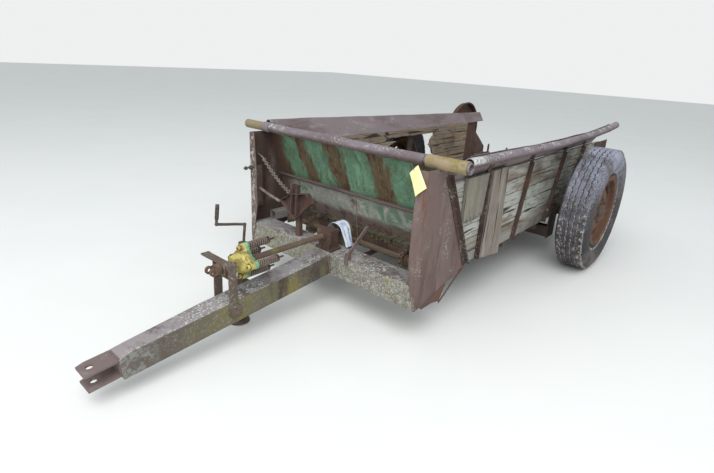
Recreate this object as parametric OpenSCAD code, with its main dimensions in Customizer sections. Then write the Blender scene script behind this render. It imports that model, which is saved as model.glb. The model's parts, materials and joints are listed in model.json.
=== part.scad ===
// Farm manure spreader, two wheels, shaft driven, parked on its tongue jack.
// Millimetres. Hitch faces -Y, +X is the machine's left, ground at Z = 0.
// Lengths along Y are measured from the front top pipe and moved to the
// shared frame by in_frame().

/* [Body] */
// Outside width over the side boards
body_w = 1472; // [1200:4:1800]
// Front pipe to the back edge of the rear plates
rear_reach = 3500; // [3000:10:4200]
// Front pipe to the tip of the hitch
hitch_reach = 1590; // [1300:10:1900]
// Underside of the sills above the ground
sill_z = 362; // [320:2:420]
// Sill height
sill_h = 66; // [50:1:90]
// Sill width
sill_w = 60; // [40:1:80]
// Courses of side boards
board_courses = 5; // [4:1:6]
// Height of one side board
board_h = 96; // [80:1:110]
// Gap between two side boards
board_gap = 4; // [3:0.5:8]
// Side board thickness
board_t = 28; // [20:1:35]
// Floor board thickness
floor_t = 40; // [25:1:45]
// Cross member height
cross_h = 40; // [30:1:45]
// Thickness of straps, gussets and rear plates
plate_t = 6; // [4:0.5:10]

/* [Top rail] */
// Height of the pipe centres
rail_z = 1058; // [1000:2:1150]
// How far the middle of each side pipe stands out from the boards
rail_out = 99; // [80:1:130]
// How far the left pipe kicks up along its flare at the rear
rail_rise = 52; // [0:1:80]
// How far it sags along its flare in its middle
rail_sag = 33; // [0:1:60]
// How far the right pipe drops along its flare at its rear end
rail_drop = 80; // [0:1:100]
// Pipe outside diameter
pipe_d = 60; // [48:1:76]
// Pipe wall
pipe_wall = 4; // [3:0.5:6]
// How far the front pipe runs past the boards at each end
front_pipe_out = 176; // [140:2:200]
// Length of the right side pipe
side_pipe_l = 3110; // [2900:10:3400]
// Length of the left side pipe, which is broken off
short_pipe_l = 2745; // [2600:5:2900]
// Gap between the front pipe's middle and a side pipe's open end
side_pipe_y0 = 125; // [80:5:200]
// Flare sheet thickness
sheet_t = 3; // [2:0.5:5]

/* [Front] */
// Front beam height
beam_h = 147; // [120:1:160]
// Front beam depth
beam_d = 165; // [120:1:180]
// Front beam steel thickness
beam_t = 8; // [6:1:12]
// Front face of the beam, ahead of the front pipe
beam_ahead = 110; // [90:1:130]
// Tongue width
tongue_w = 128; // [100:1:140]
// Tongue height
tongue_h = 128; // [100:1:136]
// Tongue steel thickness
tongue_t = 8; // [6:1:12]
// Tongue slope down to the hitch in degrees
tongue_slope = 5.6; // [3:0.1:7]
// Height over both hitch plates
hitch_h = 90; // [70:1:100]
// Hitch plate width
hitch_w = 110; // [80:1:112]
// Hitch plate thickness
hitch_t = 12; // [10:1:16]
// Length of the hitch plates ahead of the tongue
hitch_bare = 150; // [120:5:200]
// Hitch pin hole diameter
hitch_hole_d = 33; // [25:1:40]

/* [Drive] */
// Height of the input shaft
input_z = 468; // [440:1:480]
// Shaft diameter
shaft_d = 35; // [30:1:40]
// Radial running clearance of shafts
run_gap = 0.05; // [0.02:0.01:0.1]
// Height of the shaft under the floor
line_z = 210; // [200:1:230]
// Radius to the clutch bolts
clutch_r = 84; // [74:1:92]
// Height of the end bearings of the beater shaft
beater_z = 517; // [505:1:530]

/* [Wheels] */
// From the boards to each wheel's middle
wheel_out = 297; // [285:1:360]
// Axle behind the front pipe
axle_y = 1979; // [1700:1:2200]
// Tyre outside diameter
tyre_d = 996; // [900:2:1040]
// Tyre width
tyre_w = 250; // [200:2:260]
// Rim flange diameter
rim_d = 592; // [560:2:620]
// Spindle diameter
spindle_d = 56; // [45:1:65]
// Axle beam, square
axle_beam = 85; // [70:1:90]

/* [Unloading] */
// Pitch radius of the six-tooth apron sprockets, also the chain pitch
apron_r = 60; // [56:1:64]
// Distance from the middle to each chain
chain_x = 430; // [360:5:520]
// Clear space between a slat's end and the sill
slat_end_gap = 31; // [20:1:60]
// Beater tip diameter
beater_d = 320; // [260:5:330]
// Beater core diameter
beater_core_d = 114; // [90:1:130]
// Pairs of beater paddles
paddles = 12; // [8:1:14]

/* [Jack] */
// Jack leg diameter
leg_d = 38; // [32:1:44]
// Foot plate diameter
foot_d = 130; // [100:5:160]

/* [Hidden] */
$fn = 64;
frame_y = (hitch_reach - rear_reach) / 2;
half_w = body_w / 2;
inner_x = half_w - board_t;
sill_top = sill_z + sill_h;
course = board_h + board_gap;
board_top = sill_top + board_courses * course - board_gap;
floor_top = sill_z + floor_t;
pipe_r = pipe_d / 2;
shaft_r = shaft_d / 2;
skin = 0.3;
// Front beam
beam_y0 = -beam_ahead;
beam_y1 = beam_y0 + beam_d;
beam_top = sill_z + 7;
beam_bottom = beam_top - beam_h;
// Flare sheets lean out from the board tops and pass inside the side pipes
rail_x = half_w + rail_out;
front_pipe_l = 2 * (half_w + front_pipe_out);
flare_x = inner_x + 4;
flare_z = board_top + sheet_t;
flare_y0 = 165;
flare_y1 = rear_reach - 156;
flare_end_y = side_pipe_y0 + short_pipe_l - 110;
bend = 1;
rail_run = norm([rail_x - flare_x, rail_z - flare_z]);
rail_off = sheet_t + skin + bend + pipe_r;
flare_lean = atan2(rail_x - flare_x, rail_z - flare_z) - asin(rail_off / rail_run);
rail_up = sqrt(rail_run * rail_run - rail_off * rail_off);
flare_l = rail_up + 18;
// Bends of each side pipe: [y, how far along the flare it stands]
left_rail = [[side_pipe_y0, -3], [950, -0.6 * rail_sag], [1540, -rail_sag], [2250, -0.6 * rail_sag],
    [2700, 0.4 * rail_rise], [side_pipe_y0 + short_pipe_l, rail_rise]];
right_rail = [[side_pipe_y0, 0], [side_pipe_y0 + side_pipe_l, -rail_drop]];
rise_at = function(rail, y) lookup(y, rail);
// Tongue, along its own slope from the front face of the beam
tongue_mid_z = beam_top - 14 - tongue_h / 2;
hitch_run = (hitch_reach - beam_ahead - hitch_h / 2 * sin(tongue_slope)) / cos(tongue_slope);
tongue_run = hitch_run - hitch_bare;
hitch_hole_back = 44;
hitch_hole_x = -8;
bevel_run = 850;
// Gussets at the front corners
gusset_top = rail_z - pipe_r - skin;
gusset_back_y = 440;
gusset_back_z = sill_z - 10;
gusset_top_y = 70;
gusset_low_z = function(y) beam_bottom
    + (y - beam_y0) * (gusset_back_z - beam_bottom) / (gusset_back_y - beam_y0);
flange_w = 63;
lip_d = 50;
angle_w = 36;
gusset_edge_z = function(y) gusset_top
    + (y - gusset_top_y) * (gusset_back_z - gusset_top) / (gusset_back_y - gusset_top_y);
// Front panel
panel_top_y = 53;
panel_slope = 0.336;
panel_t = 3;
panel_bottom_z = floor_top + 60;
panel_y_at = function(z) panel_top_y + (gusset_top - 4 - z) * panel_slope;
rib_z = 715;
rib_h = 30;
rib_d = 35;
// Boards and rear plates
front_y = function(z) panel_y_at(z) + panel_t + 2;
board_y1 = rear_reach - 550;
rear_y0 = rear_reach - 700;
sill_y1 = rear_reach - 320;
// Side stakes: foot as a share of the run from the front pipe to the rear
// plates, and how far the top leans back
left_stakes = [[0.208, 0], [0.404, 130], [0.625, 205], [0.754, 345]];
right_stakes = [[0.154, 0], [0.393, 0], [0.666, 0], [0.873, 0]];
stake_w = 50;
stake_d = 32;
// Apron: six-tooth sprockets, so a link is as long as the pitch radius
link = apron_r;
bar_r = 10;
bar_t = 4;
barrel_r = 8;
chain_w = 26;
slat_l = 2 * (half_w - sill_w - slat_end_gap);
slat_w = 36;
slat_h = 20;
slat_t = 5;
apron_z = floor_top + bar_r + 0.5 - apron_r;
apron_front_y = 215;
links_top = round((rear_reach - 685) / link);
apron_rear_y = apron_front_y + links_top * link;
slat_pitch = 7 * link;
hanger_x = half_w - sill_w - 12;
// Axle and wheels
axle_low_z = 170;
hub_z = tyre_d / 2;
rim_r = rim_d / 2;
tyre_r = tyre_d / 2;
tyre_x = half_w + wheel_out;
spindle_r = spindle_d / 2;
stub_r = 40;
hub_in = -95;
hub_out = 84;
dish_z = 52;
bolt_ring_r = 95;
// Beater and its drive
beater_y = rear_reach - 250;
beater_r = beater_d / 2;
gearbox_y = rear_reach - 370;
guard_x0 = half_w + 134;
guard_x1 = guard_x0 + 60;
guard_y = rear_reach - 310;
guard_r = 300;
guard_z = 822;
guard_low_r = 90;
guard_t = 3;
// Front drive
stand_y = -840;
block_y0 = beam_y0 + 5;
block_y1 = block_y0 + 100;
case_t = 56;
case_y0 = beam_y1;
case_r = 60;
clutch_y0 = -795;
clutch_y1 = -715;
clutch_t = 22;
spring_y1 = -555;
// Jack
jack_x = -(tongue_w / 2 + 96);
jack_y = -628;
jack_seat_z = 256;
jack_lean = 6;
jack_up = 245;
jack_down = 31;
jack_r = leg_d / 2 + 6;
foot_t = 8;
crank_reach = 188;
crank_up = 357;
crank_r = 8;

module in_frame() translate([0, frame_y, 0]) children();
module both_sides() { children(); mirror([1, 0, 0]) children(); }
// Lays a (y, z) outline out along X from x0 to x1
module span_x(x0, x1) translate([x0, 0, 0]) rotate([90, 0, 90])
    linear_extrude(x1 - x0) children();
// Lays an (x, z) outline out along Y from y0 to y1
module span_y(y0, y1) translate([0, y1, 0]) rotate([90, 0, 0])
    linear_extrude(y1 - y0) children();
module rod_x(r, x0, x1, y, z) translate([x0, y, z]) rotate([0, 90, 0])
    cylinder(h = x1 - x0, r = r);
module rod_y(r, y0, y1, x, z) translate([x, y0, z]) rotate([-90, 0, 0])
    cylinder(h = y1 - y0, r = r);
module block(x0, x1, y0, y1, z0, z1) translate([x0, y0, z0])
    cube([x1 - x0, y1 - y0, z1 - z0]);
// A round bar through a list of points, with a ball at each inner one
module bar_along(points, r, ball) {
    for (i = [0 : len(points) - 2]) {
        d = points[i + 1] - points[i];
        translate(points[i]) rotate([0, acos(d[2] / norm(d)), atan2(d[1], d[0])])
            cylinder(h = norm(d), r = r);
    }
    for (i = [1 : 1 : len(points) - 2]) translate(points[i]) sphere(r = ball);
}
module on_tongue() translate([0, beam_y0, tongue_mid_z])
    rotate([tongue_slope, 0, 0]) children();
module on_flare() translate([flare_x, 0, flare_z])
    rotate([0, flare_lean, 0]) children();

// Tongue and front beam

// Side view and plan of the tongue tube, drawn inset by the steel thickness
// for its hollow; the plan widens a little towards the beam
module tongue_form(inset) difference() {
    intersection() {
        span_x(-tongue_w, tongue_w) polygon([[-tongue_run, inset - tongue_h / 2],
            [-tongue_run, hitch_h / 2 - inset], [-tongue_run + 60, tongue_h / 2 - inset],
            [40, tongue_h / 2 - inset], [40, inset - tongue_h / 2]]);
        translate([0, 0, -tongue_h]) linear_extrude(2 * tongue_h) polygon([
            [tongue_w / 2 + 9 - inset, 40], [tongue_w / 2 + 2 - inset, -810],
            [tongue_w / 2 - 6 - inset, -tongue_run], [inset - tongue_w / 2 + 4, -tongue_run],
            [inset - tongue_w / 2, -bevel_run], [inset - tongue_w / 2 - 6, 40]]);
    }
    // The top far corner is beaten down towards the hitch
    translate([-tongue_w / 2, -bevel_run, tongue_h / 2 - 1.3 * inset])
        rotate([2.06, -38.66, 0]) translate([-300, -700, 0]) cube([600, 900, 200]);
}
module tongue() in_frame() color("DimGray") difference() {
    on_tongue() difference() {
        tongue_form(0);
        tongue_form(tongue_t);
        for (s = [-1, 1]) translate([0, s < 0 ? -tongue_run : 40, 0])
            cube([2 * (tongue_w / 2 - 12 - tongue_t), 2, tongue_h - 2 * tongue_t - 30], center = true);
    }
    block(-tongue_w, tongue_w, beam_y0, beam_y1, 0, rail_z);
}
module hitch_plates() in_frame() color("RosyBrown") on_tongue() {
    tail_x0 = -tongue_w / 2 + 34;
    tail_x1 = tongue_w / 2 - 6 - tongue_t - 0.3;
    tail_top = hitch_h / 2 - tongue_t - 1;
    difference() {
        union() {
            for (z = [-hitch_h / 2, hitch_h / 2 - hitch_t]) translate([0, 0, z]) linear_extrude(hitch_t) {
                polygon([[5 - hitch_w / 2, -hitch_run], [-hitch_w / 2 - 6, -hitch_run + 36],
                    [-hitch_w / 2 - 6, -tongue_run], [hitch_w / 2 - 3, -tongue_run],
                    [hitch_w / 2 - 3, -hitch_run]]);
            }
            // Block inside the tongue's open end that both plates are welded to
            translate([tail_x0, -tongue_run - 6, -hitch_h / 2])
                cube([tail_x1 - tail_x0, 90, hitch_h / 2 + tail_top]);
        }
        translate([hitch_hole_x, -hitch_run + hitch_hole_back, -hitch_h])
            cylinder(h = 2 * hitch_h, d = hitch_hole_d);
    }
}
module front_beam() in_frame() color("SlateGray") span_x(-half_w, half_w) difference() {
    translate([beam_y0, beam_bottom]) square([beam_d, beam_h]);
    translate([beam_y0 + beam_t, beam_bottom + beam_t])
        square([beam_d, beam_h - 2 * beam_t]);
}

// Frame under the box

sill_ys = [160, beam_y1];
module sills() in_frame() color("Gray") for (i = [0, 1]) mirror([i, 0, 0]) difference() {
    block(half_w - sill_w, half_w, sill_ys[i], sill_y1, sill_z, sill_top);
    block(half_w - sill_w + plate_t, half_w - plate_t, 0, sill_y1 + 1,
        sill_z + plate_t, sill_top - plate_t);
}
// Channels, open below; the last one carries the rear gearbox
cross_y0 = 340;
cross_ahead = 379;
cross_behind = 251;
cross_ys = [cross_y0, (cross_y0 + axle_y - cross_ahead) / 2, axle_y - cross_ahead,
    axle_y + cross_behind, sill_y1 - 320, sill_y1 - 50];
cross_w = 50;
module cross_members() in_frame() color("SaddleBrown")
    for (y = cross_ys) span_x(-half_w, half_w) difference() {
        translate([y - cross_w / 2, sill_z - cross_h]) square([cross_w, cross_h]);
        translate([y - cross_w / 2 + 5, sill_z - cross_h - 1]) square([cross_w - 10, cross_h - 4]);
    }
// Drop axle: a low beam, an upright plate at each end and the stubs
module axle() in_frame() color("DarkSlateGray") difference() {
    union() {
        block(-half_w, half_w, axle_y - axle_beam / 2, axle_y + axle_beam / 2, axle_low_z,
            axle_low_z + axle_beam);
        both_sides() {
            span_x(half_w, half_w + 2 * plate_t) polygon([for (p = [[-80, axle_low_z], [80, axle_low_z],
                [80, hub_z - 20], [45, hub_z + 50], [-45, hub_z + 50], [-80, hub_z - 20]])
                [axle_y + p[0], p[1]]]);
            rod_x(stub_r, half_w + 2 * plate_t, tyre_x + hub_in - 6, axle_y, hub_z);
            rod_x(spindle_r, tyre_x + hub_in - 10, tyre_x + hub_out - 12, axle_y, hub_z);
            for (s = [-1, 1]) block(half_w - 120, half_w, axle_y + s * 36 - 5, axle_y + s * 36 + 5,
                axle_low_z + axle_beam, sill_z - cross_h - 60);
        }
    }
    rod_y(shaft_r + run_gap, axle_y - 100, axle_y + 100, 0, line_z);
}

// Wheels

tyre_mid_r = 385;
tyre_wall = 18;
bead_r = 262;
bead_x = 82;
lip_r = rim_r + 7;
function tyre_arc(up, out) = [for (t = [0 : 12 : 180]) [
    tyre_mid_r + up * pow(sin(t), 0.7),
    out * sign(cos(t)) * pow(abs(cos(t)), 0.6)]];
function flip(list) = [for (i = [len(list) - 1 : -1 : 0]) list[i]];
module wheel_at(side) translate([side * tyre_x, axle_y, hub_z]) rotate([0, side * 90, 0]) children();
module tyre(side) wheel_at(side) color("DarkGray") rotate_extrude($fn = 96) polygon(concat(
    [[bead_r + skin, bead_x], [lip_r, bead_x + 4]], tyre_arc(tyre_r - tyre_mid_r, tyre_w / 2),
    [[lip_r, -bead_x - 4], [bead_r + skin, -bead_x], [bead_r + skin, tyre_wall - bead_x]],
    flip(tyre_arc(tyre_r - tyre_mid_r - tyre_wall - 4, tyre_w / 2 - tyre_wall)),
    [[bead_r + skin, bead_x - tyre_wall]]));
// Drop-centre rim with a dished disc, hand holes and bolt holes
module rim(side) wheel_at(side) color("Sienna") difference() {
    union() {
        rotate_extrude($fn = 96) polygon([[rim_r, 96], [rim_r, 90], [bead_r, 86], [bead_r, 48],
            [238, 40], [238, -40], [bead_r, -48], [bead_r, -86], [rim_r, -90], [rim_r, -96],
            [bead_r - 7, -92], [bead_r - 7, -55], [231, -47], [231, 47], [bead_r - 7, 55],
            [bead_r - 7, 92]]);
        rotate_extrude($fn = 96) polygon([[234, 30], [234, 12], [215, 18], [150, dish_z], [62, dish_z],
            [62, dish_z + 10], [156, dish_z + 10], [222, 30]]);
    }
    for (a = [0 : 60 : 300]) rotate(a) translate([bolt_ring_r, 0, 40]) cylinder(h = 30, r = 9);
    for (a = [30 : 60 : 330]) rotate(a) translate([185, 0, 0]) cylinder(h = 80, r = 20);
}
// Hub with its flange behind the disc, six wheel bolts and a domed cap
module hub(side) wheel_at(side) color("DarkSlateGray") difference() {
    union() {
        translate([0, 0, hub_in]) rotate_extrude() polygon([[0, 0], [52, 0], [58, 6],
            [58, 60], [66, dish_z - 14 - hub_in], [120, dish_z - 14 - hub_in], [120, dish_z - hub_in],
            [58, dish_z - hub_in], [54, hub_out - hub_in - 8], [46, hub_out - hub_in],
            [30, hub_out - hub_in + 8], [0, hub_out - hub_in + 8]]);
        for (a = [0 : 60 : 300]) rotate(a) translate([bolt_ring_r, 0, dish_z]) cylinder(h = 28, r = 8);
        for (a = [0 : 60 : 300]) rotate(a) translate([bolt_ring_r, 0, dish_z + 10.3]) cylinder(h = 12, r = 14);
    }
    translate([0, 0, hub_in - 1]) cylinder(h = hub_out - hub_in - 4, r = spindle_r + run_gap);
}
module tyre_left() in_frame() tyre(1);
module tyre_right() in_frame() tyre(-1);
module rim_left() in_frame() rim(1);
module rim_right() in_frame() rim(-1);
module hub_left() in_frame() hub(1);
module hub_right() in_frame() hub(-1);

// Front of the box

module front_panel() in_frame() color("SeaGreen") difference() {
    span_x(-half_w, half_w) polygon([[5, gusset_top - panel_t], [5, gusset_top],
        [panel_top_y + panel_t, gusset_top], [panel_y_at(panel_bottom_z) + panel_t, panel_bottom_z],
        [panel_y_at(panel_bottom_z), panel_bottom_z], [panel_top_y, gusset_top - panel_t]]);
    // Rusted through along the lower edge
    span_y(panel_top_y + 60, panel_y_at(panel_bottom_z) + 20) translate([0, panel_bottom_z]) {
        polygon([[330, -9], [352, 26], [398, 34], [430, 12], [462, 21], [486, -9]]);
        polygon([[-210, -9], [-186, 14], [-150, 9], [-128, -9]]);
    }
}
module panel_rib() in_frame() color("DarkOliveGreen") span_x(-inner_x, inner_x) polygon([
    [panel_y_at(rib_z) - rib_d, rib_z], [panel_y_at(rib_z), rib_z],
    [panel_y_at(rib_z - rib_h), rib_z - rib_h], [panel_y_at(rib_z - rib_h) - 5, rib_z - rib_h],
    [panel_y_at(rib_z - 5) - 5, rib_z - 5], [panel_y_at(rib_z) - rib_d, rib_z - 5]]);
module front_pipe() in_frame() color("Khaki") difference() {
    rod_x(pipe_r, -front_pipe_l / 2, front_pipe_l / 2, 0, rail_z);
    rod_x(pipe_r - pipe_wall, -front_pipe_l, front_pipe_l, 0, rail_z);
}
// Short sleeve over the right end, long one over the left end
sleeve_t = 5.5;
module pipe_sleeves() in_frame() color("DarkKhaki")
    for (s = [[-half_w + 20, -half_w + 84], [half_w - 81, front_pipe_l / 2 - 14]]) difference() {
        rod_x(pipe_r + sleeve_t, s[0], s[1], 0, rail_z);
        rod_x(pipe_r + skin, s[0] - 1, s[1] + 1, 0, rail_z);
        block(s[0] - 1, s[1] + 1, -pipe_d, pipe_d, 0, gusset_top + skin);
    }
// Left pipe sagging and kicked up at its rear, right pipe straight; both open ended
function rail_at(y, up) = [rail_x + up * sin(flare_lean), y, rail_z + up * cos(flare_lean)];
module side_pipe(rail) {
    bent = [for (p = rail) rail_at(p[0], p[1])];
    last = len(bent) - 1;
    bore = [for (i = [0 : last]) bent[i]
        + (i == 0 ? 0.1 * (bent[0] - bent[1]) : i == last ? 0.1 * (bent[i] - bent[i - 1]) : [0, 0, 0])];
    difference() {
        bar_along(bent, pipe_r, pipe_r + bend);
        bar_along(bore, pipe_r - pipe_wall, pipe_r - pipe_wall + bend);
    }
}
module side_pipes() in_frame() color("Khaki") {
    side_pipe(left_rail);
    mirror([1, 0, 0]) side_pipe(right_rail);
}
// Gusset plate with a flange across the front and a lip folded back from it
module gussets() in_frame() color("RosyBrown") both_sides() {
    span_x(half_w, half_w + plate_t) polygon([[beam_y0, beam_bottom],
        [gusset_back_y, gusset_back_z], [gusset_top_y, gusset_top], [beam_y0, gusset_top]]);
    span_y(beam_y0 - plate_t, beam_y0) polygon([[half_w + plate_t, beam_bottom],
        [half_w + plate_t, gusset_top], [half_w - flange_w + 14, gusset_top],
        [half_w - flange_w, gusset_top - 225], [half_w - flange_w, beam_top + 130],
        [half_w - flange_w + 27, beam_top - 20], [half_w - 4, beam_bottom]]);
    block(half_w - flange_w, half_w - flange_w + plate_t, beam_y0 - plate_t, beam_y0 + lip_d,
        beam_top + 130, gusset_top - 225);
}
// Angle along the sloping rear edge of each gusset
module corner_angles() in_frame() color("SaddleBrown") both_sides() {
    run = [gusset_back_y - gusset_top_y, gusset_back_z - gusset_top];
    lean = atan2(run[0], -run[1]);
    translate([half_w + plate_t, gusset_top_y + 1, gusset_top]) rotate([lean, 0, 0])
        translate([0, -angle_w, 24 - norm(run)]) {
            cube([plate_t, angle_w, norm(run) - 70]);
            translate([0, angle_w - plate_t, 0]) cube([angle_w - plate_t, plate_t, norm(run) - 70]);
        }
}

// Sides of the box

// A board of one course: y0 and y1 of its ends, how much further its top edge
// runs at each end, and how far its lower edge is eaten away; y0 = 0 starts it
// behind the front panel, cut to the panel's slope
module board(i, y0, y1, more0 = 0, more1 = 0, eaten = 0) span_x(inner_x, half_w) {
    low = sill_top + i * course;
    high = low + board_h;
    polygon([[y0 > 0 ? y0 : front_y(low + eaten), low + eaten], [y1, low + eaten],
        [y1 + more1, high], [y0 > 0 ? y0 + more0 : front_y(high), high]]);
}
top = board_courses - 1;
// Right-hand courses that are broken: course, y0, y1, more0, more1, eaten
right_broken = [[top, 0, 1430, 0, -18, 0], [top, 1426, 2280, 0, 0, 36], [top, 2230, board_y1, 24, 0, 0],
    [top - 1, 0, 1330, 0, 250, 0], [top - 1, 2150, board_y1, 62, 0, 0],
    [top - 2, 0, 1540, 0, -72, 0], [top - 2, 2250, board_y1, -70, 0, 0]];
module side_boards() in_frame() color("Silver") {
    for (i = [0 : top]) if (i != 2) board(i, 0, board_y1);
    difference() {
        board(2, 0, board_y1);
        span_x(inner_x - 1, half_w + 1) polygon([[336, sill_top + 2 * course + board_h + 1],
            [348, sill_top + 2 * course + 22], [392, sill_top + 2 * course + 34],
            [404, sill_top + 2 * course + board_h + 1]]);
    }
    mirror([1, 0, 0]) {
        for (i = [0 : top - 3]) board(i, 0, board_y1);
        for (b = right_broken) board(b[0], b[1], b[2], b[3], b[4], b[5]);
    }
}
// A sheet whose top edge follows its pipe
module flare_sheet(rail, y1) {
    ys = concat([flare_y0], [for (i = [1 : 1 : len(rail) - 2]) rail[i][0]], [y1]);
    on_flare() rotate([90, 0, 90]) linear_extrude(sheet_t) polygon(concat([[y1, 0], [flare_y0, 0]],
        [for (y = ys) [y, flare_l + rise_at(rail, y)]]));
}
module flare_sheets() in_frame() color("SaddleBrown") {
    flare_sheet(left_rail, flare_end_y);
    mirror([1, 0, 0]) flare_sheet(right_rail, flare_y1);
}
flare_meets_z = flare_z - sheet_t * sin(flare_lean)
    + (half_w - flare_x - sheet_t * cos(flare_lean)) / tan(flare_lean);
strap_end = rail_up - skin - sqrt(pipe_r * pipe_r - pow(pipe_r + skin + bend - plate_t, 2)) - 1;
// Angle iron up the boards, its flat leg bent out along the flare
stake_foot = function(y) y < gusset_back_y + 2 ? gusset_edge_z(y) + 8 : sill_z;
module stake(rail, s) {
    y = s[0] * rear_y0 - stake_w / 2;
    foot = stake_foot(y);
    // One leg: its thickness from x = half_w, its width and its upper end
    module leg(t, w, high) span_x(half_w, half_w + t) polygon([for (p = [[0, foot], [w, foot],
        [w, high], [0, high]]) [y + p[0] + s[1] * (p[1] - foot) / (board_top - foot), p[1]]]);
    leg(plate_t, stake_w, flare_meets_z - 0.7);
    leg(stake_d, plate_t, board_top);
    rise = min(rise_at(rail, y + s[1]), rise_at(rail, y + s[1] + stake_w));
    on_flare() translate([sheet_t, y + s[1] + 1, 28])
        cube([plate_t, stake_w - 2, strap_end + rise - 28]);
}
module stakes() in_frame() color("DimGray") {
    for (s = left_stakes) stake(left_rail, s);
    mirror([1, 0, 0]) for (s = right_stakes) stake(right_rail, s);
}
// Two odd planks nailed over the left boards
patch_t = 26;
module patch_planks() in_frame() color("BurlyWood") {
    // One runs from the gusset to the first stake, the other starts behind that stake
    y = left_stakes[0][0] * rear_y0;
    span_x(half_w, half_w + patch_t) polygon([[285, 940], [y - 29.4, 940], [y - 50.4, 790],
        [y - 44.4, 742], [y - 61.4, 655], [y - 84.4, 640], [y - 96.4, 700], [y - 127.4, 652],
        [y - 210.4, 668], [296, 658]]);
    span_x(half_w, half_w + patch_t) polygon([[y + 29.6, 944], [y + 239.6, 940],
        [y + 296.6, 317], [y + 31.6, 355]]);
}
module rear_plates() in_frame() color("DarkSlateGray") both_sides() difference() {
    span_x(half_w, half_w + plate_t) polygon([[rear_y0, sill_z], [rear_reach - 440, sill_z],
        [rear_reach - 390, sill_z - 32], [rear_reach - 120, sill_z - 32], [rear_reach, 520],
        [rear_reach, 600], [rear_reach - 300, 820], [rear_reach - 310, board_top], [rear_y0, board_top]]);
    rod_x(shaft_r + 5, half_w - 1, half_w + plate_t + 1, beater_y, beater_z);
}

// Floor and apron

floor_n = 9;
floor_gap = 6;
module floor_boards() in_frame() color("Peru") {
    pitch = 2 * (half_w - sill_w) / floor_n;
    for (i = [0 : floor_n - 1]) translate([-half_w + sill_w + i * pitch, 0, 0])
        block(i == 0 ? 0 : floor_gap / 2, pitch - (i == floor_n - 1 ? 0 : floor_gap / 2),
            320, rear_reach - 570, sill_z, floor_top);
}
// Pins of one chain in turn round the loop, as [y, height over the shafts]
wrap_y = apron_r * cos(30);
chain_pins = concat(
    [for (i = [0 : links_top]) [apron_front_y + i * link, apron_r]],
    [for (s = [1, -1]) [apron_rear_y + wrap_y, s * apron_r / 2]],
    [for (i = [links_top : -1 : 0]) [apron_front_y + i * link, -apron_r]],
    [for (s = [-1, 1]) [apron_front_y - wrap_y, s * apron_r / 2]]);
module link_bar(a, b) translate([a[0], apron_z + a[1]]) rotate(atan2(b[1] - a[1], b[0] - a[0])) {
    circle(r = bar_r, $fn = 24);
    translate([0, 3 - bar_r]) square([link, 2 * bar_r - 6]);
}
module apron_chains() in_frame() color("SaddleBrown") both_sides() {
    for (x = [chain_x - chain_w / 2, chain_x + chain_w / 2 - bar_t]) span_x(x, x + bar_t)
        for (i = [0 : len(chain_pins) - 1])
            link_bar(chain_pins[i], chain_pins[(i + 1) % len(chain_pins)]);
    for (p = chain_pins) rod_x(barrel_r, chain_x - chain_w / 2 + 1, chain_x + chain_w / 2 - 1,
        p[0], apron_z + p[1], $fn = 24);
}
// Angle iron bars bolted to every seventh link, above and below; those at the
// front are lost
module apron_slats() in_frame() color("Sienna")
    for (s = [1, -1], y = [apron_front_y + (s > 0 ? 5 : 8) * link : slat_pitch : apron_rear_y])
        span_x(-slat_l / 2, slat_l / 2) translate([y, apron_z + s * (apron_r + bar_r)])
            scale([1, s]) translate([-slat_w / 2, 0]) polygon([[0, 0], [slat_w, 0],
                [slat_w, slat_t], [slat_t, slat_t], [slat_t, slat_h], [0, slat_h]]);
module sprocket(x, y) {
    span_x(x - 6, x + 6) translate([y, apron_z]) {
        circle(r = apron_r - barrel_r - skin);
        for (a = [0 : 60 : 300]) rotate(a) polygon([[30, -20], [apron_r - 12, -18],
            [apron_r + 6, -8], [apron_r + 6, 8], [apron_r - 12, 18], [30, 20]]);
    }
    rod_x(32, x - 22, x + 22, y, apron_z);
}
// Shafts of the chain sprockets in bearing plates on the inside of the sills
module apron_shafts() in_frame() color("DimGray") for (y = [apron_front_y, apron_rear_y]) {
    rod_x(20, -hanger_x - 12, hanger_x + 12, y, apron_z);
    both_sides() {
        sprocket(chain_x, y);
        block(hanger_x, hanger_x + 12, y - 40, y + 40, apron_z - 38, sill_z + 40);
        rod_x(34, hanger_x - 16, hanger_x, y, apron_z);
    }
}

// Beater and its drive

// One paddle: a flat bar on a saddle, drawn upwards from the shaft's middle
module paddle() translate([-6, 0, 0]) rotate([90, 0, 90]) {
    linear_extrude(12) polygon([[-14, beater_core_d / 2 - 6], [14, beater_core_d / 2 - 6],
        [16, beater_r - 34], [7, beater_r], [-9, beater_r - 4], [-15, beater_r - 36]]);
    translate([0, 0, -14]) linear_extrude(40) polygon([[-26, beater_core_d / 2 - 8],
        [26, beater_core_d / 2 - 8], [18, beater_core_d / 2 + 8], [-18, beater_core_d / 2 + 8]]);
}
module beater() in_frame() color("Sienna") translate([0, beater_y, beater_z]) {
    core_l = 2 * (half_w - 96);
    rod_x(beater_core_d / 2, -core_l / 2, core_l / 2, 0, 0);
    rod_x(shaft_r, -guard_x1 + 12, half_w + plate_t + 34, 0, 0);
    for (i = [0 : paddles - 1], s = [0, 180]) rotate([i * 75 + s, 0, 0])
        translate([(i + 0.5 - paddles / 2) * (core_l - 70) / paddles, 0, 0]) paddle();
}
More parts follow.
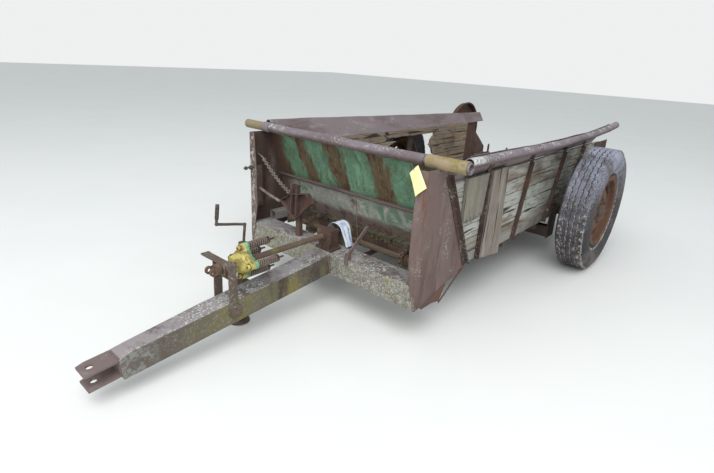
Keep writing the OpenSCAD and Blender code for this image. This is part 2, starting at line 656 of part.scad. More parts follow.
// Two round flanged bearings on the rear plates, a block on the front beam
// and two hangers under the floor
module shaft_bearings() in_frame() color("DimGray") {
    both_sides() difference() {
        union() {
            rod_x(64, half_w + plate_t, half_w + plate_t + 10, beater_y, beater_z);
            rod_x(40, half_w + plate_t, half_w + plate_t + 30, beater_y, beater_z);
        }
        rod_x(shaft_r + run_gap, half_w, half_w + 60, beater_y, beater_z);
    }
    difference() {
        union() {
            block(-70, 70, block_y0, block_y1, beam_top, beam_top + 14);
            block(-46, 46, block_y0 + 6, block_y1 - 6, beam_top, input_z + 34);
            block(-62, 62, block_y0 + 4, block_y0 + 14, input_z - 50, input_z + 30);
            rod_y(30, block_y0 - 12, block_y1 + 4, 0, input_z);
        }
        rod_y(shaft_r + run_gap, block_y0 - 13, block_y1 + 5, 0, input_z);
    }
    for (i = [1, 3]) difference() {
        union() {
            block(-30, 30, cross_ys[i] - 20, cross_ys[i] + 20, line_z, sill_z - 5);
            rod_y(34, cross_ys[i] - 24, cross_ys[i] + 24, 0, line_z);
        }
        rod_y(shaft_r + run_gap, cross_ys[i] - 25, cross_ys[i] + 25, 0, line_z);
    }
}
// Outline round a big circle and a small one, with straight tangent sides
module belt_outline(c0, r0, c1, r1) {
    d = c1 - c0;
    dir = atan2(d[1], d[0]);
    open = acos((r0 - r1) / norm(d));
    translate(c0) circle(r = r0);
    translate(c1) circle(r = r1);
    polygon([for (p = [[c0, r0, 1], [c1, r1, 1], [c1, r1, -1], [c0, r0, -1]])
        p[0] + p[1] * [cos(dir + p[2] * open), sin(dir + p[2] * open)]]);
}
module guard_outline(in) belt_outline([guard_y, guard_z], guard_r - in, [gearbox_y, line_z],
    guard_low_r - in);
module drive_guard() in_frame() color("DarkSlateGray") {
    difference() {
        union() {
            span_x(-guard_x1, -guard_x0) guard_outline(0);
            span_x(-guard_x0 - 6, -guard_x0) guard_outline(-14);
        }
        span_x(-guard_x1 + guard_t, -guard_x0 + 1) guard_outline(guard_t);
    }
    for (p = [[-150, -182], [190, -182], [10, 58]])
        rod_x(14, -guard_x1 + guard_t - 1, -half_w - plate_t, guard_y + p[0], guard_z + p[1]);
}
// Drop case behind the beam, rear gearbox and its cross tube to the guard
module gear_cases() in_frame() color("SaddleBrown") {
    difference() {
        span_y(case_y0, case_y0 + case_t) {
            for (z = [input_z, line_z]) translate([0, z]) circle(r = case_r);
            translate([-case_r, line_z]) square([2 * case_r, input_z - line_z]);
        }
        rod_y(shaft_r + run_gap, case_y0 - 1, case_y0 + 30, 0, input_z);
        rod_y(shaft_r + run_gap, case_y0 + case_t - 30, case_y0 + case_t + 1, 0, line_z);
    }
    difference() {
        union() {
            block(-75, 75, gearbox_y - 75, gearbox_y + 60, line_z - 60, line_z + 60);
            rod_x(30, -guard_x0 - 10, -70, gearbox_y, line_z);
            rod_x(52, -96, -70, gearbox_y, line_z);
            block(-60, 60, gearbox_y - 20, gearbox_y + 20, line_z + 40, sill_z - cross_h);
        }
        rod_y(shaft_r + run_gap, gearbox_y - 76, gearbox_y - 30, 0, line_z);
    }
}
module line_shaft() in_frame() color("DimGray")
    rod_y(shaft_r, case_y0 + case_t - 25, gearbox_y - 35, 0, line_z);

// Input shaft with its slip clutch

// The shaft ends ahead of its stand in a fork for a joint cross
fork_r = 32;
fork_l = 58;
module input_shaft() in_frame() color("Gray") {
    rod_y(shaft_r, stand_y - 44, case_y0 + 25, 0, input_z);
    difference() {
        union() {
            rod_y(fork_r, stand_y - 60, stand_y - 34, 0, input_z);
            for (s = [-1, 1]) translate([s * 22 - 7, 0, 0]) {
                block(0, 14, stand_y - fork_l - 22, stand_y - 50, input_z - 17, input_z + 17);
                rod_x(22, 0, 14, stand_y - fork_l - 22, input_z);
            }
        }
        rod_x(11, -60, 60, stand_y - fork_l - 22, input_z);
    }
}
clutch_bolts = [0 : 90 : 270];
// Four-armed outline of the clutch flanges
module arms(r, arm_r) {
    circle(r = r);
    for (a = clutch_bolts) rotate(a) {
        translate([clutch_r, 0]) circle(r = arm_r);
        polygon([[0, -r], [clutch_r, -arm_r], [clutch_r, arm_r], [0, r]]);
    }
}
module clutch_housing() in_frame() color("Goldenrod") difference() {
    translate([0, 0, input_z]) {
        span_y(clutch_y1 - 26, clutch_y1) arms(66, 20);
        rotate([-90, 0, 0]) translate([0, 0, clutch_y0]) rotate_extrude() polygon([[0, 0], [40, 0],
            [46, 6], [50, 26], [66, clutch_y1 - clutch_y0 - 28], [66, clutch_y1 - clutch_y0 - 2],
            [0, clutch_y1 - clutch_y0 - 2]]);
        for (a = clutch_bolts) rotate([0, -a, 0])
            rod_y(13, clutch_y1 - 40, clutch_y1 - 20, clutch_r, 0);
    }
    rod_y(shaft_r + skin, clutch_y0 - 1, clutch_y1 + 1, 0, input_z);
}
module clutch_plate() in_frame() color("MediumSeaGreen") difference() {
    translate([0, 0, input_z]) span_y(clutch_y1, clutch_y1 + clutch_t) arms(62, 22);
    rod_y(shaft_r + skin, clutch_y1 - 1, clutch_y1 + 30, 0, input_z);
}
// Each spring as the outline of its coils, turned about its bolt
coil_r = 18.5;
wire_r = 4;
coil_n = 13;
module clutch_springs() in_frame() color("DimGray")
    for (a = clutch_bolts) translate([0, 0, input_z]) rotate([0, -a, 0])
        translate([clutch_r, clutch_y1 + clutch_t, 0]) rotate([-90, 0, 0]) {
            coil_l = spring_y1 - clutch_y1 - clutch_t;
            rotate_extrude() polygon(concat([[0, 0]], [for (i = [0 : 2 * coil_n])
                [coil_r + (i % 2 == 0 ? -0.6 : wire_r), i * coil_l / (2 * coil_n)]], [[0, coil_l]]));
            translate([0, 0, coil_l]) cylinder(h = 6, r = 22);
            translate([0, 0, coil_l]) cylinder(h = 18, r = 11);
            cylinder(h = coil_l + 46, r = 6);
        }

// Stand for the front bearing, jack and small front parts

stand_t = 8;
bar_z = 486;
module shaft_stand() in_frame() color("DarkSlateGray") difference() {
    x = tongue_w / 2 + 3;
    union() {
        // Uprights outside the tongue, the left one cut on the slant
        span_x(x, x + stand_t) polygon([[stand_y - 25, 205], [stand_y - 25, 470],
            [stand_y - 38, bar_z + 8], [stand_y + 22, bar_z + 36], [stand_y + 22, 205]]);
        span_x(-x - stand_t, -x) polygon([[stand_y - 25, 205], [stand_y - 25, bar_z],
            [stand_y + 25, bar_z], [stand_y + 25, 205]]);
        block(x + stand_t, x + stand_t + 26, stand_y - 22, stand_y + 34, 206, 262);
        // Flat bar across the top, which runs on past the right upright
        block(-190, x, stand_y - 25, stand_y + 25, bar_z, bar_z + stand_t);
        // Bearing plate with its boss
        block(-x, x, stand_y - 5, stand_y + 5, input_z - 62, bar_z);
        block(-38, 38, stand_y - 26, stand_y + 26, input_z - 38, bar_z);
    }
    rod_y(shaft_r + run_gap, stand_y - 60, stand_y + 60, 0, input_z);
}
module on_jack() translate([jack_x, jack_y, jack_seat_z]) rotate([-jack_lean, 0, 0]) children();
tongue_far_x = -tongue_w / 2 - 6 * (jack_y - beam_y0 + bevel_run + 20) / (bevel_run + 40);
module jack_tube() in_frame() color("DarkSlateGray") difference() {
    union() {
        on_jack() translate([0, 0, -jack_down]) cylinder(h = jack_up + jack_down, r = jack_r);
        on_jack() translate([0, 0, jack_up - 14]) cylinder(h = 14, r = jack_r + 5);
        block(jack_x, 0, jack_y - 20, jack_y + 20, jack_seat_z - 20, jack_seat_z + 24);
    }
    on_jack() translate([0, 0, -jack_down - 1])
        cylinder(h = jack_up + jack_down - 7, r = leg_d / 2 + skin);
    block(tongue_far_x - skin, 0, jack_y - 50, jack_y + 50, 0, rail_z);
}
module jack_leg() in_frame() color("DimGray") {
    sole = jack_seat_z / cos(jack_lean);
    translate([jack_x, jack_y - jack_seat_z * tan(jack_lean), 0]) {
        cylinder(h = foot_t, d = foot_d);
        translate([0, 0, foot_t]) cylinder(h = 18, r1 = leg_d / 2 + 14, r2 = leg_d / 2);
    }
    on_jack() translate([0, 0, foot_t / 2 - sole]) cylinder(h = sole - foot_t / 2 + 24, d = leg_d);
}
module jack_crank() in_frame() color("DarkSlateGray") on_jack() {
    tip = crank_up + crank_reach * sin(6);
    bar_along([[0, 0, jack_up], [0, 0, crank_up], [0, -crank_reach, tip], [0, -crank_reach, tip + 30]],
        crank_r, crank_r + 2);
    translate([0, -crank_reach, tip + 30]) cylinder(h = 82, r = crank_r + 3);
}
// Tilted tray pan of the feed control on its post, a channel bolted over it
tray_y = beam_y0 + 10;
tray_d = 40;
tray_corners = [[-435, 603], [-289, 496], [-135, 640], [-180, 700], [-330, 672]];
module feed_tray() in_frame() color("Peru") {
    middle = [-274, 622];
    difference() {
        span_y(tray_y, tray_y + tray_d) polygon(tray_corners);
        span_y(tray_y - 1, tray_y + tray_d - 4)
            polygon([for (p = tray_corners) middle + 0.955 * (p - middle)]);
    }
    difference() {
        block(-326, -270, tray_y, tray_y + tray_d - 2, 530, 739);
        block(-321, -275, tray_y - 1, tray_y + tray_d - 10, 529, 740);
    }
    block(-318, -278, tray_y + tray_d, tray_y + tray_d + 28, beam_top, 620);
}
// Control lever on a pin in its bracket on the front edge of the beam
lever_x = 214;
module control_lever() in_frame() color("DarkSlateGray") {
    pivot = [beam_y0 + 10, beam_top + 22];
    for (x = [lever_x - 14, lever_x + 8]) span_x(x, x + 6) {
        translate(pivot) circle(r = 16);
        translate([beam_y0 - 6, beam_top]) square([32, 22]);
    }
    block(lever_x - 14, lever_x + 14, beam_y0 - 6, beam_y0, beam_top - 34, beam_top + 22);
    rod_x(7, lever_x - 14, lever_x + 14, pivot[0], pivot[1]);
    span_x(lever_x - 4, lever_x + 4) translate(pivot) rotate(41) {
        circle(r = 15);
        translate([0, -13]) square([226, 26]);
        translate([226, 0]) circle(r = 13);
    }
}
// Torn skirt, flap and loose brace under the left gusset
module sill_end() in_frame() color("Brown") {
    span_x(half_w, half_w + plate_t) polygon([[-60, gusset_low_z(-60) - 0.1], [-34, 207], [60, 214],
        [149, 198], [205, gusset_low_z(205) - 0.1]]);
    block(half_w - 60, half_w, 60, 150, 300, 306);
    block(half_w - 6, half_w, beam_y1, 150, 232, 300);
    span_x(half_w - 6, half_w) polygon([[160, 182], [438, 358], [444, 348], [166, 172]]);
}

tongue();
hitch_plates();
front_beam();
sills();
cross_members();
axle();
tyre_left();
rim_left();
hub_left();
tyre_right();
rim_right();
hub_right();
front_panel();
panel_rib();
front_pipe();
pipe_sleeves();
side_pipes();
gussets();
corner_angles();
side_boards();
flare_sheets();
stakes();
patch_planks();
rear_plates();
floor_boards();
apron_chains();
apron_slats();
apron_shafts();
beater();
shaft_bearings();
drive_guard();
gear_cases();
line_shaft();
input_shaft();
clutch_housing();
clutch_plate();
clutch_springs();
shaft_stand();
jack_tube();
jack_leg();
jack_crank();
feed_tray();
control_lever();
sill_end();
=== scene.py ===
# %% [markdown]
# # An old manure spreader, dressed in Blender
# This lesson dresses a finished CAD model of a two-wheeled farm manure spreader. The CAD
# frame gives every place and size. Blender adds what forty years in a field did to it:
# rust, lichen, split boards, dents and cracked rubber. We load the frame first, because
# every later piece is placed against it.

# %% Load the frame
import bpy, bmesh, json, math
from mathutils import Matrix, Vector, noise

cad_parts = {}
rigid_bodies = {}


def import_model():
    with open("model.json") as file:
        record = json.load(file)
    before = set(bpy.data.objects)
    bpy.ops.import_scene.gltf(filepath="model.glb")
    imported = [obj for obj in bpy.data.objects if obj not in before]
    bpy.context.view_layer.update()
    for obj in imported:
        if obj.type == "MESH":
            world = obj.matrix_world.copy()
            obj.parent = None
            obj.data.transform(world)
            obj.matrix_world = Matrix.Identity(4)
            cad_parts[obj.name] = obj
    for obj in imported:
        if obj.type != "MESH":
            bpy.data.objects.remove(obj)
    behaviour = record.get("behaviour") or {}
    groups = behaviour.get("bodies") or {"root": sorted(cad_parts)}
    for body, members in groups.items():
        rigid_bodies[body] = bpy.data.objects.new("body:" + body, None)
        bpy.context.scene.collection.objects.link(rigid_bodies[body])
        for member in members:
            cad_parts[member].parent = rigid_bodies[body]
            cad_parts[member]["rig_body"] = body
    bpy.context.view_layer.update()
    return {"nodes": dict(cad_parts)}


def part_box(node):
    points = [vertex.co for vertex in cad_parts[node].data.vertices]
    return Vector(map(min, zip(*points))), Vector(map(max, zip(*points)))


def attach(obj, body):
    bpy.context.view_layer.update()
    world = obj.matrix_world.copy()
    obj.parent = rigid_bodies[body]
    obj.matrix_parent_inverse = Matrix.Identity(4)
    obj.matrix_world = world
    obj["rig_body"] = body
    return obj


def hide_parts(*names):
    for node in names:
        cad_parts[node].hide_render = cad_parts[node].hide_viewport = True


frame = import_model()
# The noise that dents the plates starts from the clock unless it has a seed of its own
SEED = 86
noise.seed_set(SEED)

# %% [markdown]
# ## One ruler for the whole lesson
# The drawing of this machine measures from the pipe across its front, in millimetres.
# Blender works in metres from the middle of the machine. A small helper changes one into
# the other, so that every number below can be read off the real machine with a tape.

# %% From the front pipe to Blender's metres
PIPE_Y = -955


def at(x, y, z):
    return Vector((x, y + PIPE_Y, z)) / 1000


# %% [markdown]
# ## The camera
# The photograph was taken by someone standing near the tongue, a little above the rails.
# The place, direction and lens were solved from points with known sizes, so the camera is
# set from those numbers and not by eye. It comes first: all later work is judged in it.

# %% Place the camera
YAW, PITCH, ROLL = 0.702, 0.3601, 0.0601
ahead = Vector((-math.sin(YAW) * math.cos(PITCH), math.cos(YAW) * math.cos(PITCH), -math.sin(PITCH)))
side = Vector((math.cos(YAW), math.sin(YAW), 0))
above = side.cross(ahead)
right = math.cos(ROLL) * side + math.sin(ROLL) * above
up = math.cos(ROLL) * above - math.sin(ROLL) * side
lens = bpy.data.cameras.new("camera")
lens.sensor_width = 36.0
lens.lens = 23.555
camera = bpy.data.objects.new("camera", lens)
camera.matrix_world = Matrix((
    (right.x, up.x, -ahead.x, 0), (right.y, up.y, -ahead.y, 0),
    (right.z, up.z, -ahead.z, 0), (0, 0, 0, 1)))
camera.location = at(1978.5, -2109.1, 1532.5)
bpy.context.scene.collection.objects.link(camera)
bpy.context.scene.camera = camera
bpy.context.scene.view_settings.view_transform = "Standard"
print("camera at", tuple(round(v, 3) for v in camera.location))

# %% [markdown]
# ## Light and floor
# The day was grey and bright, so the light has no hard edge. A pale world gives the even
# part. One very large soft lamp, high behind the camera and a little to its left, gives the
# shapes a light and a dark side. Through the Light Path node the camera and any reflection
# see a plain pale background, while the light on the machine stays that of the grey sky.

# %% The world and the lamp
# Rays from the camera, off something shiny or through something clear see the background
world = bpy.data.worlds.new("overcast")
bpy.context.scene.world = world
world.use_nodes = True
sky = world.node_tree
sky.nodes.clear()
light_path = sky.nodes.new("ShaderNodeLightPath")
seen = sky.nodes.new("ShaderNodeMath")
seen.operation = "MAXIMUM"
also = sky.nodes.new("ShaderNodeMath")
also.operation = "MAXIMUM"
sky.links.new(light_path.outputs["Is Camera Ray"], seen.inputs[0])
sky.links.new(light_path.outputs["Is Glossy Ray"], seen.inputs[1])
sky.links.new(seen.outputs[0], also.inputs[0])
sky.links.new(light_path.outputs["Is Transmission Ray"], also.inputs[1])
lit = sky.nodes.new("ShaderNodeBackground")
lit.inputs["Color"].default_value = (0.93, 0.97, 1.0, 1)
lit.inputs["Strength"].default_value = 0.72
shown = sky.nodes.new("ShaderNodeBackground")
shown.inputs["Color"].default_value = (0.86, 0.87, 0.87, 1)
blend = sky.nodes.new("ShaderNodeMixShader")
sky.links.new(also.outputs[0], blend.inputs[0])
sky.links.new(lit.outputs[0], blend.inputs[1])
sky.links.new(shown.outputs[0], blend.inputs[2])
sky.links.new(blend.outputs[0], sky.nodes.new("ShaderNodeOutputWorld").inputs[0])
lamp = bpy.data.lights.new("cloud_gap", "AREA")
lamp.energy = 900
lamp.size = 9
cloud = bpy.data.objects.new("cloud_gap", lamp)
cloud.location = (3.5, -6, 7.5)
cloud.rotation_euler = (Vector((0, 0, 0.3)) - cloud.location).to_track_quat("-Z", "Y").to_euler()
bpy.context.scene.collection.objects.link(cloud)
print("lamp:", lamp.energy, "W over", lamp.size, "m")

# %% [markdown]
# ## A small kit for shapes
# Chains, wires, springs, bolts and boards all come down to a few moves: sweep a ring along
# a line, turn a profile about an axis, or loft rings between two ends. One class collects
# the points and faces of such moves, and makes one object of them at the end. That keeps
# dozens of bolts in one piece instead of dozens of objects.

# %% Colours, angles and grids
TAU = 2 * math.pi


def srgb(*values):
    """A colour as seen on screen, 0 to 255, as the linear numbers that a shader wants."""
    shares = [v / 255 for v in values]
    return tuple(s / 12.92 if s <= 10 / 255 else ((s + 0.055) / 1.055) ** 2.4 for s in shares) + (1.0,)


def turn(count):
    """The angles that divide a full turn evenly."""
    return [TAU * j / count for j in range(count)]


def grid_faces(rows, columns):
    """The faces of a sheet of points laid out in rows."""
    starts = [row * (columns + 1) + column for row in range(rows) for column in range(columns)]
    return [(a, a + 1, a + columns + 2, a + columns + 1) for a in starts]


print("white is", srgb(255, 255, 255), "and a quarter turn", turn(4)[1])

# %% A class that collects a shape
class Shape:
    def __init__(self):
        self.points, self.faces = [], []

    def add(self, points, faces):
        base = len(self.points)
        self.points += [Vector(p) for p in points]
        self.faces += [tuple(base + i for i in f) for f in faces]

    def rings(self, rings, closed=False, caps=True):
        """A skin over rings of points: closed into a loop, or open with a cap at each end."""
        n, m = len(rings), len(rings[0])
        faces = []
        for i in range(n if closed else n - 1):
            for j in range(m):
                a, b = i * m, (i + 1) % n * m
                faces.append((a + j, a + (j + 1) % m, b + (j + 1) % m, b + j))
        if caps and not closed:
            faces += [tuple(range(m))[::-1], tuple((n - 1) * m + j for j in range(m))]
        self.add([p for r in rings for p in r], faces)

    def tube(self, line, radius, sides=10, closed=False, flat=1.0):
        """A bar along a line. radius is a number or a function of how far along it is."""
        line = [Vector(p) for p in line]
        n = len(line)
        out, across = [], None
        for i, p in enumerate(line):
            before = line[i - 1] if i or closed else line[0]
            after = line[(i + 1) % n] if i < n - 1 or closed else line[-1]
            along = (after - before).normalized()
            if across is None:
                across = along.orthogonal().normalized()
            across = (across - along * across.dot(along)).normalized()
            other = along.cross(across)
            r = radius(i / max(1, n - 1)) if callable(radius) else radius
            out.append([p + r * (math.cos(a) * across + flat * math.sin(a) * other) for a in turn(sides)])
        self.rings(out, closed)

    def turned(self, profile, place, axis, sides=24):
        """A profile of (radius, height) pairs turned about an axis through a place."""
        spin = Vector(axis).to_track_quat("Z", "Y")
        out = [[Vector(place) + spin @ Vector((r * math.cos(a), r * math.sin(a), h)) for a in turn(sides)]
               for r, h in profile]
        self.rings(out)

    def bolt(self, place, axis, across, head):
        """A washer, a six-sided nut and the bolt's end. across is half the nut's width."""
        self.turned([(across * 1.5, 0), (across * 1.5, 0.002), (across * 1.1, 0.0026)], place, axis, 16)
        self.turned([(across * 0.98, 0.0), (across, head * 0.75), (across * 0.8, head)], place, axis, 6)
        self.turned([(across * 0.5, head * 0.9), (across * 0.5, head * 1.7), (across * 0.3, head * 1.9)],
                    place, axis, 10)

    def rough(self, amount, scale):
        """Shift each point by smooth noise, as hammer, heat and rust do."""
        for p in self.points:
            p += amount * noise.noise_vector(p * scale)

    def piece(self, name, finish, body="chassis", nodes=(), smooth=35):
        mesh = bpy.data.meshes.new(name)
        mesh.from_pydata([tuple(p) for p in self.points], [], self.faces)
        return make_piece(mesh, name, finish, body, nodes, smooth)


# %% Turn a mesh into a piece of the machine
# How many faces each piece has
made = {}


def make_piece(mesh, name, finish, body="chassis", nodes=(), smooth=35):
    bm = bmesh.new()
    bm.from_mesh(mesh)
    bmesh.ops.recalc_face_normals(bm, faces=bm.faces)
    bm.to_mesh(mesh)
    bm.free()
    mesh.materials.clear()
    mesh.materials.append(finish)
    mesh.polygons.foreach_set("use_smooth", [True] * len(mesh.polygons))
    mesh.set_sharp_from_angle(angle=math.radians(smooth))
    obj = bpy.data.objects.new(name, mesh)
    bpy.context.scene.collection.objects.link(obj)
    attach(obj, body)
    if nodes:
        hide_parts(*nodes)
    made[name] = len(mesh.polygons)
    return obj


print("kit ready")

# %% [markdown]
# ## A small kit for finishes
# Weathered steel is layers: old paint or clean metal, rust that eats through it, dirt
# that runs down, and lichen on top. The class below stacks such layers in one node tree.
# Each layer is a colour and a mask, and each mask is noise, a height or a direction.
# Coordinates come from the object itself, so the pattern stays on when the piece moves.

# %% A class that stacks finishes
EVEN = (1, 1, 1)


class Finish:
    def __init__(self, name, colour, rough=0.85, slot=None):
        self.mat = bpy.data.materials.new(name)
        self.mat.use_nodes = True
        self.tree = self.mat.node_tree
        self.shader = self.tree.nodes["Principled BSDF"]
        self.shader.inputs["Roughness"].default_value = rough
        self.shader.inputs["Specular IOR Level"].default_value = 0.3
        self.shader.inputs["Base Color"].default_value = srgb(*colour)
        coordinates = self.node("ShaderNodeTexCoord")
        self.place = coordinates.outputs["Object"]
        self.normal = coordinates.outputs["Normal"]
        self.colour = None
        self.height = None
        self.base = srgb(*colour)

    def node(self, kind, **settings):
        made_node = self.tree.nodes.new(kind)
        for key, value in settings.items():
            setattr(made_node, key, value)
        return made_node

    def join(self, source, target):
        if hasattr(source, "links"):
            self.tree.links.new(source, target)
        else:
            target.default_value = source

    def sum(self, kind, a, b=0.0):
        """One step of arithmetic. a and b are numbers or the outputs of other nodes."""
        m = self.node("ShaderNodeMath", operation=kind)
        for socket, value in zip(m.inputs, (a, b)):
            self.join(value, socket)
        return m.outputs[0]

    def axis(self, letter, of=None):
        split = self.node("ShaderNodeSeparateXYZ")
        self.join(of or self.place, split.inputs[0])
        return split.outputs["XYZ".index(letter)]

    def noise(self, scale, stretch=EVEN, detail=5.0, rough=0.6, warp=0.0, shift=0.0):
        bend = self.node("ShaderNodeMapping")
        self.join(self.place, bend.inputs[0])
        bend.inputs["Scale"].default_value = stretch
        bend.inputs["Location"].default_value = (shift, shift * 0.7, shift * 1.3)
        n = self.node("ShaderNodeTexNoise")
        self.join(bend.outputs[0], n.inputs["Vector"])
        for key, value in (("Scale", scale), ("Detail", detail), ("Roughness", rough), ("Distortion", warp)):
            n.inputs[key].default_value = value
        return n.outputs["Fac"]

    def spots(self, scale, size, shift=0.0):
        """Round flecks: 1 inside a fleck and 0 outside."""
        bend = self.node("ShaderNodeMapping")
        self.join(self.place, bend.inputs[0])
        bend.inputs["Location"].default_value = (shift, 0, shift)
        v = self.node("ShaderNodeTexVoronoi")
        self.join(bend.outputs[0], v.inputs["Vector"])
        v.inputs["Scale"].default_value = scale
        return self.step(v.outputs["Distance"], size, size * 0.55)

    def cloud(self, low, high, *noise):
        """A cloudy mask: 0 where the noise is under low and 1 where it is over high."""
        return self.step(self.noise(*noise), low, high)

    def scaled(self, mask, gain, base):
        """A mask times gain plus base, for a growth that is full in one place and weak elsewhere."""
        return self.sum("ADD", self.sum("MULTIPLY", mask, gain), base)

    def distance(self, value, middle):
        """How far a value is from a middle, either way."""
        return self.sum("ABSOLUTE", self.sum("SUBTRACT", value, middle))

    def step(self, value, low, high):
        """A soft step: 0 at low and 1 at high. With low above high it falls instead."""
        m = self.node("ShaderNodeMapRange", interpolation_type="SMOOTHSTEP")
        self.join(value, m.inputs["Value"])
        m.inputs["From Min"].default_value, m.inputs["From Max"].default_value = low, high
        return m.outputs[0]

    def times(self, *masks):
        out = masks[0]
        for m in masks[1:]:
            out = self.sum("MULTIPLY", out, m)
        return out

    def facing(self, letter, low=0.4, high=0.8):
        """A mask of where the surface looks along an axis."""
        return self.step(self.axis(letter, self.normal), low, high)

    def paint(self, colour, mask, strength=1.0):
        """Lay a colour over all that is painted so far, where the mask is 1."""
        mix = self.node("ShaderNodeMix", data_type="RGBA")
        under, over = mix.inputs[6], mix.inputs[7]
        self.join(self.sum("MULTIPLY", mask, strength) if strength != 1.0 else mask, mix.inputs["Factor"])
        self.join(self.colour if self.colour is not None else self.base, under)
        over.default_value = srgb(*colour)
        self.colour = mix.outputs[2]
        return self

    def relief(self, value, depth):
        """Stack a height, in metres, for the bump."""
        h = self.sum("MULTIPLY", value, depth)
        self.height = h if self.height is None else self.sum("ADD", self.height, h)
        return self

    def done(self):
        self.join(self.colour, self.shader.inputs["Base Color"])
        if self.height is not None:
            bump = self.node("ShaderNodeBump")
            bump.inputs["Strength"].default_value = 1.0
            bump.inputs["Distance"].default_value = 1.0
            self.join(self.height, bump.inputs["Height"])
            self.join(bump.outputs[0], self.shader.inputs["Normal"])
        return self.mat


print("finish kit ready")

# %% [markdown]
# ## Steel that has rusted brown
# Bare steel left outside turns a dull mauve-brown, smooth where it is sheet and pitted
# where it is thick. Paler crust, darker damp patches and pin-head lichen break it up. One
# recipe makes all the rusted steels here, each with its own colours and amounts.

# %% The rust recipe
def rusted(name, slot, base, dark, pale, red=(112, 70, 52), reds=0.25, lichen=0.2, moss=0.0, pits=0.0006,
           streak=EVEN, shift=0.0, more=None):
    f = Finish(name, base, 0.86, slot)
    broad = f.noise(3.2, streak, 4, 0.6, 0.3, shift)
    fine = f.noise(34, streak, 6, 0.7, 0.0, shift)
    f.paint(dark, f.step(broad, 0.48, 0.68), 0.85)
    f.paint(pale, f.cloud(0.53, 0.72, 7.5, streak, 6, 0.7, 0.4, shift + 3), 0.75)
    f.paint(red, f.times(f.cloud(0.54, 0.66, 5.5, streak, 5, 0.65, 0.6, shift + 7),
                         f.step(fine, 0.35, 0.6)), reds * 3)
    f.paint(dark, f.step(fine, 0.53, 0.75), 0.55)
    f.paint(pale, f.cloud(0.57, 0.72, 120, streak, 3, 0.7, 0, shift), 0.4)
    if moss:
        where = f.cloud(0.58 - 0.2 * moss, 0.72 - 0.2 * moss, 4.2, EVEN, 5, 0.65, 0.5, shift + 11)
        f.paint((122, 116, 62), f.times(where, f.cloud(0.35, 0.6, 60, EVEN, 4, 0.7)), 0.85)
    if lichen:
        field = f.cloud(0.62 - 0.22 * lichen, 0.74 - 0.2 * lichen, 5, EVEN, 4, 0.6, 0.2, shift + 17)
        f.paint((178, 182, 172), f.times(field, f.spots(95, 0.34, shift=shift)), 0.85)
        f.paint((150, 154, 142), f.times(field, f.cloud(0.54, 0.63, 42, EVEN, 5, 0.75, 0.4, shift)), 0.8)
    if more:
        more(f)
    f.relief(fine, pits).relief(broad, pits * 2).relief(f.noise(160, EVEN, 3, 0.6), pits * 0.4)
    return f.done()


print("rust recipe ready")

# %% [markdown]
# ## Marks that have a place
# Some marks have their place on the machine: the inside of the far corner plate is darkened with
# rust brown and painted shade, the pipes are rusty underneath, and lichen whitens the end of the near
# pipe. A short function for each adds these marks to a finished recipe, with masks made from where a point
# is.

# %% Marks on the gussets and pipes
def gusset_marks(f):
    """The far gusset's inner face is darkened with rust brown and painted shade, and the outer half of its
    front is white with lichen.
    """
    far = f.step(f.axis("X"), -0.3, -0.35)
    # Painted shade with rust brown: the far gusset's face that looks into the box is painted dark
    inner = f.times(far, f.facing("X", 0.3, 0.6), f.cloud(0.3, 0.5, 5, (1, 1, 0.5), 5, 0.65, 0.4, 61))
    f.paint((62, 47, 41), inner, 0.75)
    edge = f.times(far, f.facing("Y", -0.5, -0.8), f.step(f.axis("X"), -0.675, -0.71))
    f.paint((178, 180, 174), f.times(edge, f.cloud(0.49, 0.6, 36, (1, 1, 0.6), 5, 0.75, 0.4, 63)), 0.75)


def pipe_marks(f):
    """Rust shows under the pipes. Lichen whitens their tops and the near pipe's front end."""
    grain = f.noise(44, EVEN, 5, 0.75, 0.4, 71)
    under = f.facing("Z", 0.15, -0.5)
    f.paint((98, 80, 74), under, 0.75)
    f.paint((72, 56, 50), f.times(under, f.step(grain, 0.5, 0.62)), 0.7)
    crust = f.times(f.facing("Z", 0.0, 0.6), f.cloud(0.46, 0.6, 4.5, EVEN, 5, 0.65, 0.3, 73))
    f.paint((192, 194, 192), f.times(crust, f.step(grain, 0.5, 0.58)), 0.9)
    tip = f.times(f.step(f.axis("X"), 0.6, 0.65), f.step(f.axis("Y"), -0.62, -0.76),
                  f.step(f.axis("Y"), -0.92, -0.91), f.facing("Z", -0.3, 0.3))
    f.paint((198, 200, 198), f.times(tip, f.step(grain, 0.4, 0.52)), 0.9)
    far_tip = f.times(f.step(f.axis("X"), -0.715, -0.735), f.step(f.axis("Y"), -0.9, -0.925))
    f.paint((134, 124, 90), far_tip, 0.8)


print("marks ready")

# %% The rusts of this machine
mauve_rust = rusted("mauve_rust", "mauve_rust", (112, 98, 95), (84, 70, 67), (136, 124, 121), reds=0.12,
                    lichen=0.25, streak=(1.6, 1.6, 0.45))
flare_rust = rusted("flare_rust", "brown_rust", (126, 115, 117), (94, 80, 77), (150, 141, 145), reds=0.12,
                    lichen=0.25, streak=(1.4, 0.4, 1.4), shift=2.0)
brown_rust = rusted("brown_rust", "brown_rust", (84, 64, 56), (52, 40, 36), (112, 96, 88), reds=0.3,
                    lichen=0.15, pits=0.0012, shift=5.0)
orange_rust = rusted("orange_rust", "orange_rust", (92, 73, 67), (62, 47, 43), (116, 100, 95),
                     (118, 72, 54), reds=0.2, lichen=0.1, pits=0.001, shift=9.0)
chain_steel = rusted("chain_steel", "shaft_steel", (128, 122, 112), (92, 84, 74), (156, 152, 144), reds=0.1,
                     lichen=0.3, pits=0.0006, shift=24.0)
gusset_rust = rusted("gusset_rust", "mauve_rust", (110, 93, 88), (82, 66, 61), (130, 115, 110),
                     (106, 71, 58), reds=0.3, lichen=0.45, streak=(1.6, 1.6, 0.3), shift=52.0,
                     more=gusset_marks)
stake_rust = rusted("stake_rust", "dark_steel", (76, 61, 55), (48, 38, 34), (102, 87, 80), reds=0.2,
                    lichen=0.6, pits=0.0012, shift=63.0)
